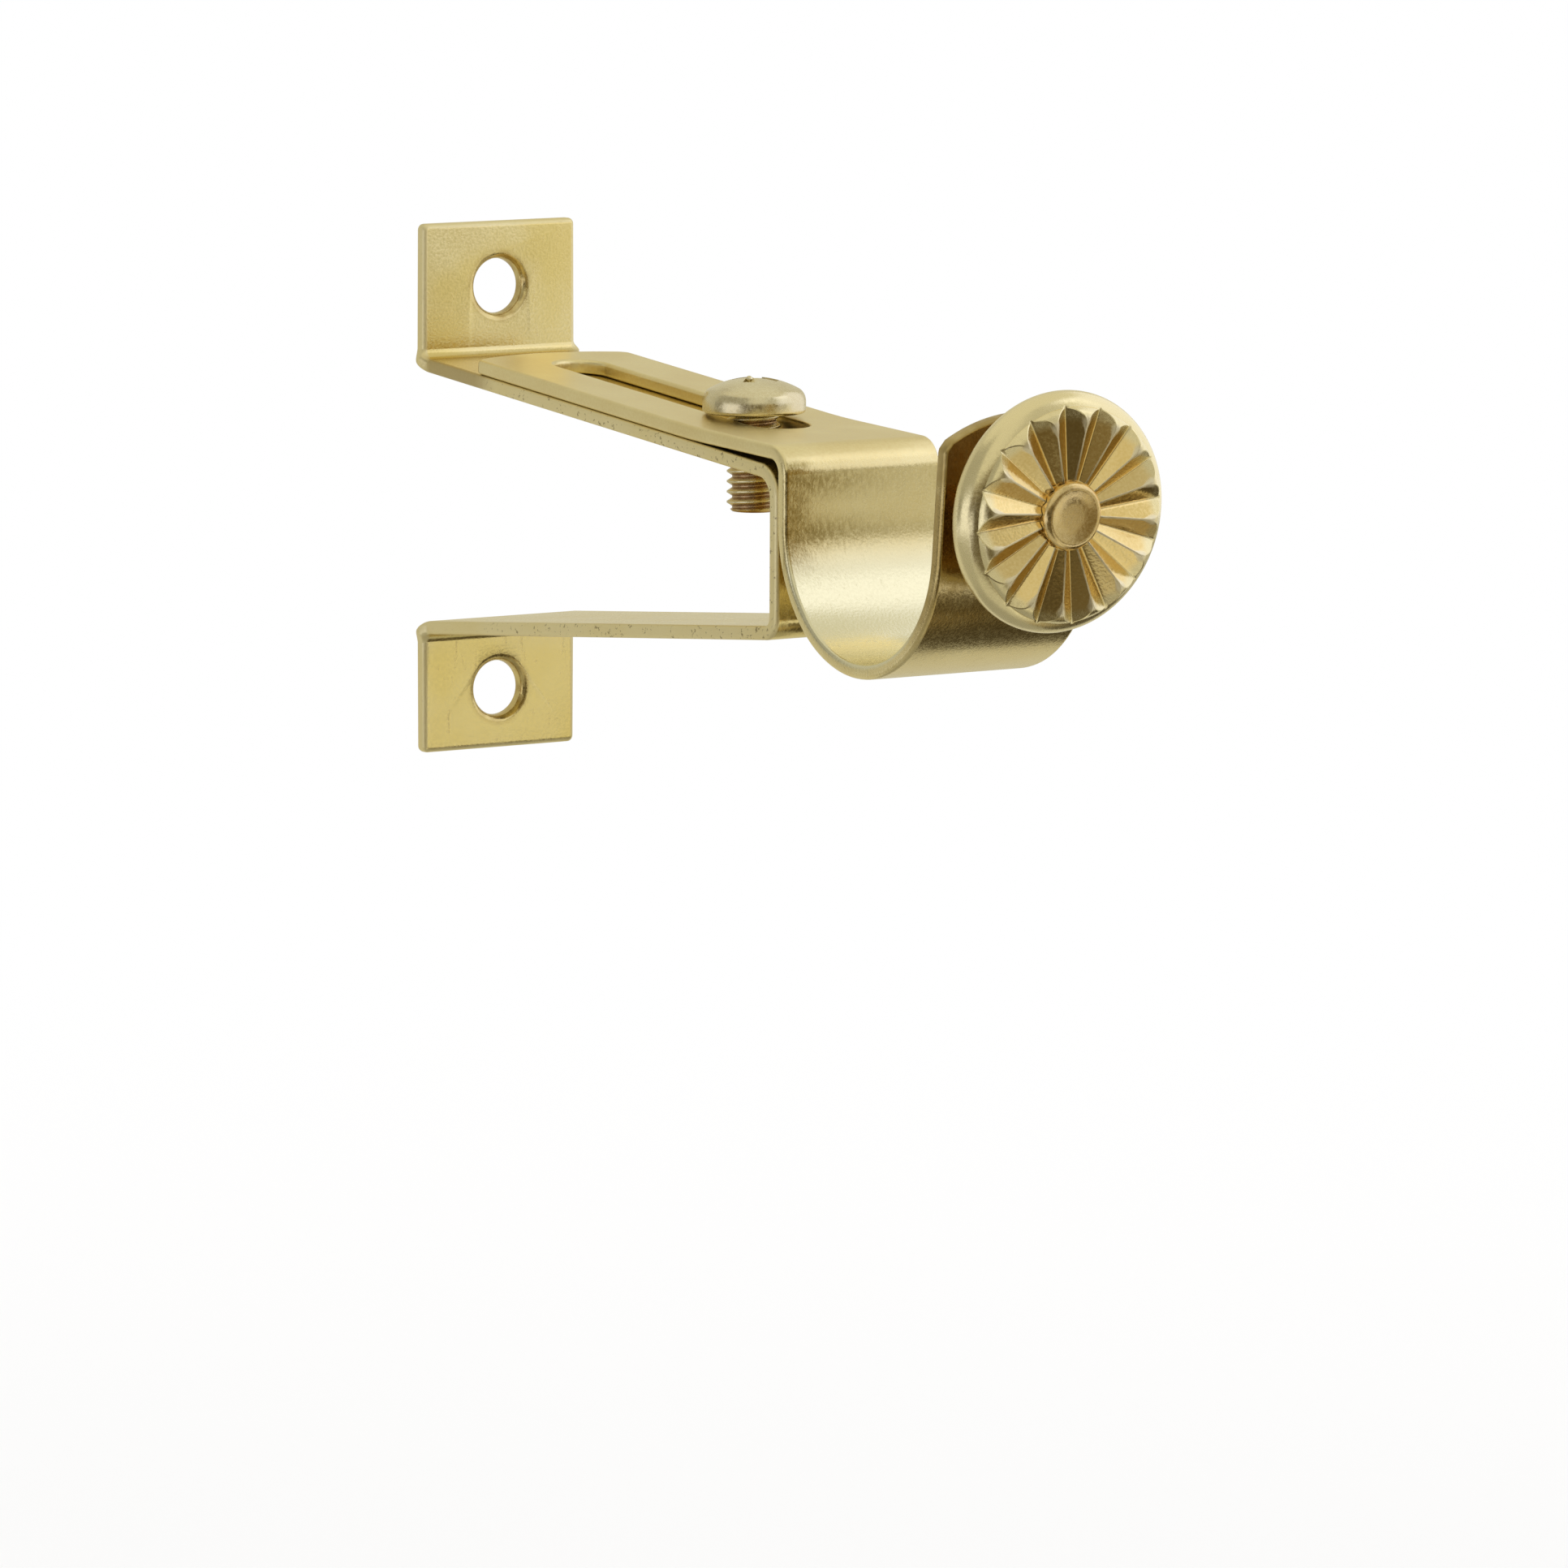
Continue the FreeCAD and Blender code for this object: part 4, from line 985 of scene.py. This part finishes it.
def bracket_finish():
    """The bracket's plate: yellow clouds, pale duller edges that are wear and painted highlight, brown rings
    round the holes, dirt on its sides, and painted shade on the top leg by its bend.
    """
    paint = brass("bracket_brass", BRACKET_LIGHT, BRACKET_DARK, (0.17, 0.33), (1, 1, 0.1))
    across, out, up = [paint.axis(label) for label in "XYZ"]
    beside = paint.math("ABSOLUTE", across)
    cloud = paint.ramp(paint.noise(130), 0.42, 0.66, 0.0, 0.8)
    paint.tint(cloud, YELLOW_CLOUD)
    lower_foot = paint.ramp(up, -12.0, -14.0, 0.0, 0.45)
    paint.tint(lower_foot, YELLOW_FOOT)
    lower_end = -HOLE_SPACING / 2 - LOWER_MARGIN
    upper_end = HOLE_SPACING / 2 + UPPER_MARGIN
    side_edge = STRIP_WIDTH / 2 - EDGE_RADIUS
    # Pale, duller edges of the feet's ends and the strip's sides: wear, and a painted highlight along them
    foot_ends = paint.math("MAXIMUM", paint.ramp(up, lower_end + 0.4, lower_end + 0.25),
                           paint.ramp(up, upper_end - 0.4, upper_end - 0.25))
    wear_and_highlight = paint.math("MAXIMUM", foot_ends, paint.ramp(beside, side_edge - 0.08, side_edge + 0.08))
    paint.tint(paint.times(wear_and_highlight, 0.5), EDGE_WEAR_AND_HIGHLIGHT)
    paint.dull(wear_and_highlight, 0.26)
    from_hole = paint.distance(across, paint.minus(paint.math("ABSOLUTE", up), HOLE_SPACING / 2))
    blotches = paint.ramp(paint.noise(900, 3), 0.3, 0.7, 0.25, 0.8)
    paint.tint(paint.times(paint.ramp(from_hole, 3.2, 2.4), blotches), HOLE_RING)
    sides = paint.times(paint.ramp(beside, 6.95, 7.08), paint.ramp(out, -8.0, -14.0, 0.1, 0.8))
    dirt = paint.ramp(paint.noise(2600, 3, roughness=0.65), 0.6, 0.66)
    paint.tint(paint.times(sides, dirt), SIDE_DIRT)
    # Painted shade on the top leg's face between the upper wall bend and the arm's end
    by_the_bend = paint.band(out, (-0.9, -2.2), (-12.0, -8.5))
    top_face = paint.times(paint.ramp(up, 8.6, 9.2), 0.62)
    paint.tint(paint.times(by_the_bend, top_face), LEG_ROOT_SHADE)
    return paint.done()


def rosette_finish():
    """The rosette: golden flutes with whitish ridges that are wear and painted highlight, and a paler, duller
    rim.
    """
    paint = brass("rosette_brass", ROSETTE_LIGHT, ROSETTE_DARK, (0.09, 0.22), grain_depth=0.004)
    across = paint.axis("X")
    along = paint.plus(paint.axis("Y"), ROSETTE_OUT)
    above = paint.minus(paint.axis("Z"), ROSETTE_HEIGHT)
    above = paint.minus(above, paint.times(along, math.tan(WALL_LEAN)))
    above = paint.times(above, math.cos(WALL_LEAN))
    from_axis = paint.distance(across, above)
    rim = paint.ramp(from_axis, 6.9, 7.7)
    paint.tint(rim, ROSETTE_RIM)
    paint.dull(rim, 0.14)
    flute = 2 * math.pi / FLUTE_COUNT
    angle = paint.plus(paint.math("ARCTAN2", across, above), ROSETTE_TURN)
    phase = paint.math("FRACT", paint.math("DIVIDE", angle, flute))
    aside = paint.times(paint.math("ABSOLUTE", paint.minus(phase, 0.5)), flute)
    from_ridge = paint.times(aside, from_axis)
    # Whitish, duller ridges of the flutes: wear, and a painted highlight along them
    ridge_band_width = paint.ramp(from_axis, 6.2, 7.3, 0.09, 0.42)
    wear_and_highlight = paint.ramp(paint.math("DIVIDE", from_ridge, ridge_band_width), 1.3, 0.5)
    fluted = paint.times(paint.ramp(from_axis, 7.7, 7.2), paint.ramp(along, -5.0, -5.6))
    wear_and_highlight = paint.times(paint.times(wear_and_highlight, fluted), 0.85)
    paint.tint(wear_and_highlight, RIDGE_WEAR_AND_HIGHLIGHT)
    paint.dull(wear_and_highlight, 0.34)
    return paint.done()


def screw_finish():
    """The clamp screw: grey-beige head, thread darker in its grooves as painted shade."""
    paint = brass("screw_brass", SCREW_LIGHT, SCREW_DARK, (0.2, 0.4), grain_depth=0.003)
    from_axis = paint.distance(paint.axis("X"), paint.plus(paint.axis("Y"), SCREW_REACH))
    shank = paint.ramp(paint.axis("Z"), 8.6, 8.4)
    crest = SCREW_DIAMETER / 2
    # Painted shade: the thread darker in its grooves
    groove_shade = paint.ramp(from_axis, crest - 0.08, crest - THREAD_DEPTH * 0.9, 0.05, 1.0)
    paint.tint(paint.times(shank, groove_shade), THREAD_GROOVE_SHADE)
    return paint.done()


def rivet_finish():
    """The rivet: tarnished darker than the rosette."""
    return brass("rivet_brass", RIVET_LIGHT, RIVET_DARK, (0.18, 0.38), grain_depth=0.003).done()


def dress(pieces, material, body, node):
    """Gives pieces and the solid that they stand for their finish, sets the pieces on the solid's body and
    hides the solid.
    """
    for piece in pieces:
        piece.data.materials.clear()
        piece.data.materials.append(material)
        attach(piece, body)
        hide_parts(node)
    solid = frame["nodes"][node].data
    solid.materials.clear()
    solid.materials.append(material)


rosette_brass = rosette_finish()
screw_brass = screw_finish()
dress([wall_bracket_piece()], bracket_finish(), "bracket", "wall_bracket")
dress([pole_arm_piece()], arm_finish(), "arm", "pole_arm")
dress([rosette_piece(rosette_brass)], rosette_brass, "arm", "rosette")
dress([rivet_piece()], rivet_finish(), "arm", "rosette_rivet")
dress([screw_head_piece(), screw_shank_piece(screw_brass)], screw_brass, "screw", "clamp_screw")


# Studio

FLOOR = -0.12
FLOOR_SIDE = 6.0
FLOOR_COLOUR = (0.93, 0.93, 0.93, 1)
FLOOR_ROUGHNESS = 0.9
FLOOR_PLAIN = 0.16
FLOOR_WHITE = 0.6
WORLD_GREY = (0.74, 0.74, 0.74, 1)
WHITE = (1, 1, 1, 1)
LAMP_COLOUR = (1, 0.985, 0.96)
LAMP_TARGET = (0, -0.035, 0)
CREAM = (1, 0.96, 0.76)
AMBER = (1, 0.8, 0.42)
TENT_CENTRE = (0, -0.04, 0)
NEAR = 0.112
WIDE = 0.6
CARD_STEP = 5

# Name, azimuths from the front to the right, elevations, level, tint, and how far off where it isn't near
CARDS = (
    ("card_top", (-180, 180), (52, 89), 0.72, CREAM),
    ("card_back_right", (110, 165), (-20, 52), 0.66, CREAM),
    ("card_back_left", (165, 228), (-20, 52), 0.57, CREAM),
    ("card_left_high", (-132, -48), (10, 52), 0.4, CREAM),
    ("card_left_far", (-140, -108), (-11, 12), 0.28, CREAM, WIDE),
    ("card_front_far", (-66, -30), (-9.5, 12), 0.1, AMBER, WIDE),
    ("card_front", (-31, 5), (-14, 3), 0.09, AMBER),
    ("card_front_left", (-48, -31), (-4, 3), 0.09, AMBER),
    ("card_front_right", (5, 22), (-14, 3), 0.25, AMBER),
    ("card_front_middle", (-48, 22), (3, 12), 0.2, AMBER),
    ("card_front_high", (-48, -4), (12, 52), 0.7, CREAM),
    ("card_front_high_right", (-4, 22), (12, 52), 0.54, CREAM),
    ("card_front_under", (-44, 5), (-32, -14), 0.14, AMBER),
    ("card_front_under_right", (5, 22), (-30.5, -14), 0.7, CREAM),
    ("card_front_low", (-48, 4), (-60, -32), 0.56, CREAM),
    ("card_front_low_right", (4, 22), (-48, -30.5), 0.82, CREAM),
    ("card_front_lowest", (4, 22), (-60, -48), 0.5, CREAM),
    ("card_left_low", (-132, -48), (-60, -17), 0.42, CREAM),
    ("card_right_dark", (22, 33), (-18, -10.5), 0.08, AMBER),
    ("card_right_middle", (22, 36), (-10.5, 0), 0.62, CREAM),
    ("card_right_line", (22, 36), (0, 7), 0.45, CREAM),
    ("card_right_above", (22, 31), (27, 38), 0.76, CREAM),
    ("card_right", (36, 43), (-6, 8), 0.52, CREAM),
    ("card_right_side", (43, 56), (-6, 2.5), 0.86, CREAM),
    ("card_right_side_high", (43, 56), (2.5, 8), 0.66, CREAM),
    ("card_right_below", (36, 56), (-28, -6), 0.78, CREAM),
    ("card_low_right", (41, 84), (-60, -28), 0.07, AMBER),
    ("card_low_right_front", (22, 41), (-42, -28), 0.12, AMBER),
    ("card_low_right_under", (22, 41), (-60, -42), 0.36, AMBER),
    ("card_low_side", (56, 110), (-28, -8), 0.45, CREAM),
    ("card_low_back", (84, 228), (-60, -20), 0.62, CREAM),
    ("card_below", (-180, 180), (-89, -60), 0.35, CREAM),
)


def staged(name, points, faces, material):
    """A thing of the studio that isn't part of the object."""
    mesh = bpy.data.meshes.new(name)
    mesh.from_pydata(points, [], faces)
    mesh.materials.append(material)
    piece = new_object(name, mesh)
    return piece


def seen_or_reflected(tree):
    """One for the camera's, the glossy and the transmitted rays, zero for the others."""
    rays = tree.add("ShaderNodeLightPath").outputs
    seen = tree.math("MAXIMUM", rays["Is Camera Ray"], rays["Is Glossy Ray"])
    return tree.math("MAXIMUM", seen, rays["Is Transmission Ray"])


def floor_material():
    """A pale floor that turns to plain white away from the object."""
    material = bpy.data.materials.new("floor")
    material.use_nodes = True
    tree = Nodes(material.node_tree)
    shader = tree.nodes["Principled BSDF"]
    shader.inputs["Base Color"].default_value = FLOOR_COLOUR
    shader.inputs["Roughness"].default_value = FLOOR_ROUGHNESS
    place = tree.add("ShaderNodeTexCoord").outputs["Object"]
    away = tree.add("ShaderNodeVectorMath", {0: place}, operation="LENGTH").outputs["Value"]
    fade = tree.add("ShaderNodeMapRange", {
        "Value": away, "From Min": FLOOR_PLAIN, "From Max": FLOOR_WHITE,
    }, interpolation_type="SMOOTHSTEP")
    share = tree.times(fade.outputs[0], seen_or_reflected(tree))
    white = tree.add("ShaderNodeEmission").outputs[0]
    choose = tree.add("ShaderNodeMixShader", {0: share, 1: shader.outputs[0], 2: white})
    tree.give(tree.nodes["Material Output"].inputs["Surface"], choose.outputs[0])
    return material


def floor_sheet():
    half = FLOOR_SIDE / 2
    corners = [(-half, -half, FLOOR), (half, -half, FLOOR), (half, half, FLOOR), (-half, half, FLOOR)]
    staged("floor", corners, [(0, 1, 2, 3)], floor_material())


def tent_card(name, azimuths, elevations, level, tint, radius=NEAR):
    """A curved card that only metal sees."""
    across, up = [max(1, round((high - low) / CARD_STEP)) for low, high in (azimuths, elevations)]
    points = []
    for j in range(up + 1):
        elevation = math.radians(elevations[0] + (elevations[1] - elevations[0]) * j / up)
        for i in range(across + 1):
            azimuth = math.radians(azimuths[0] + (azimuths[1] - azimuths[0]) * i / across)
            level_way = Vector((math.sin(azimuth), -math.cos(azimuth), 0)) * math.cos(elevation)
            way = level_way + Vector((0, 0, math.sin(elevation)))
            points.append(Vector(TENT_CENTRE) + radius * way)
    row = across + 1
    faces = [(j * row + i, (j + 1) * row + i, (j + 1) * row + i + 1, j * row + i + 1)
             for j in range(up) for i in range(across)]
    material = bpy.data.materials.new(name)
    material.use_nodes = True
    tree = Nodes(material.node_tree)
    glow = tree.add("ShaderNodeEmission", {"Color": (*[level * share for share in tint], 1)})
    tree.give(tree.nodes["Material Output"].inputs["Surface"], glow.outputs[0])
    card = staged(name, points, faces, material)
    card.visible_camera = False
    card.visible_diffuse = False
    card.visible_shadow = False
    card.visible_transmission = False


def lamp(name, place, size, power, reflected=False):
    light = bpy.data.lights.new(name, "AREA")
    light.size = size
    light.energy = power
    light.color = LAMP_COLOUR
    holder = new_object(name, light)
    holder.location = place
    holder.rotation_euler = (Vector(LAMP_TARGET) - Vector(place)).to_track_quat("-Z", "Y").to_euler()
    holder.visible_glossy = reflected


def world_light():
    """Soft grey light from all round, which the camera and the metal see as white."""
    world = bpy.data.worlds.new("studio")
    bpy.context.scene.world = world
    world.use_nodes = True
    tree = Nodes(world.node_tree)
    grey = tree.nodes["Background"]
    grey.inputs["Color"].default_value = WORLD_GREY
    white = tree.add("ShaderNodeBackground", {"Color": WHITE})
    choose = tree.add("ShaderNodeMixShader", {
        0: seen_or_reflected(tree), 1: grey.outputs[0], 2: white.outputs[0],
    })
    tree.give(tree.nodes["World Output"].inputs["Surface"], choose.outputs[0])


floor_sheet()
for card in CARDS:
    tent_card(*card)
lamp("key", (0.68, -0.63, 0.9), 0.6, 0.22, reflected=True)
lamp("right", (0.9, 0.1, 1.2), 1.0, 5.0)
lamp("left", (-1.1, -0.4, 0.9), 1.0, 3.0)
lamp("back", (0.2, 1.2, 0.9), 1.0, 3.0)
world_light()

# Camera

SENSOR = 36
PHOTO_SIDE = 1932
FOCAL_LENGTH_IN_PIXELS = 12242.2
YAW = math.radians(34.0689)
PITCH = math.radians(7.5314)
ROLL = math.radians(0.2410)
AIM = Vector((11.149, -25.535, -22.041)) * MM
DISTANCE = 785.97 * MM
forward = Vector((math.sin(YAW) * math.cos(PITCH), math.cos(YAW) * math.cos(PITCH), -math.sin(PITCH)))
level_right = Vector((math.cos(YAW), -math.sin(YAW), 0))
level_up = level_right.cross(forward)
right = level_right * math.cos(ROLL) + level_up * math.sin(ROLL)
up = level_up * math.cos(ROLL) - level_right * math.sin(ROLL)
camera_data = bpy.data.cameras.new("camera")
camera_data.sensor_width = SENSOR
camera_data.lens = SENSOR * FOCAL_LENGTH_IN_PIXELS / PHOTO_SIDE
camera_data.clip_start = 0.05
camera_data.clip_end = 20
camera = new_object("camera", camera_data)
turned = Matrix((right, up, -forward)).transposed().to_4x4()
camera.matrix_world = Matrix.Translation(AIM - forward * DISTANCE) @ turned
bpy.context.scene.camera = camera
bpy.context.scene.view_settings.view_transform = "Standard"
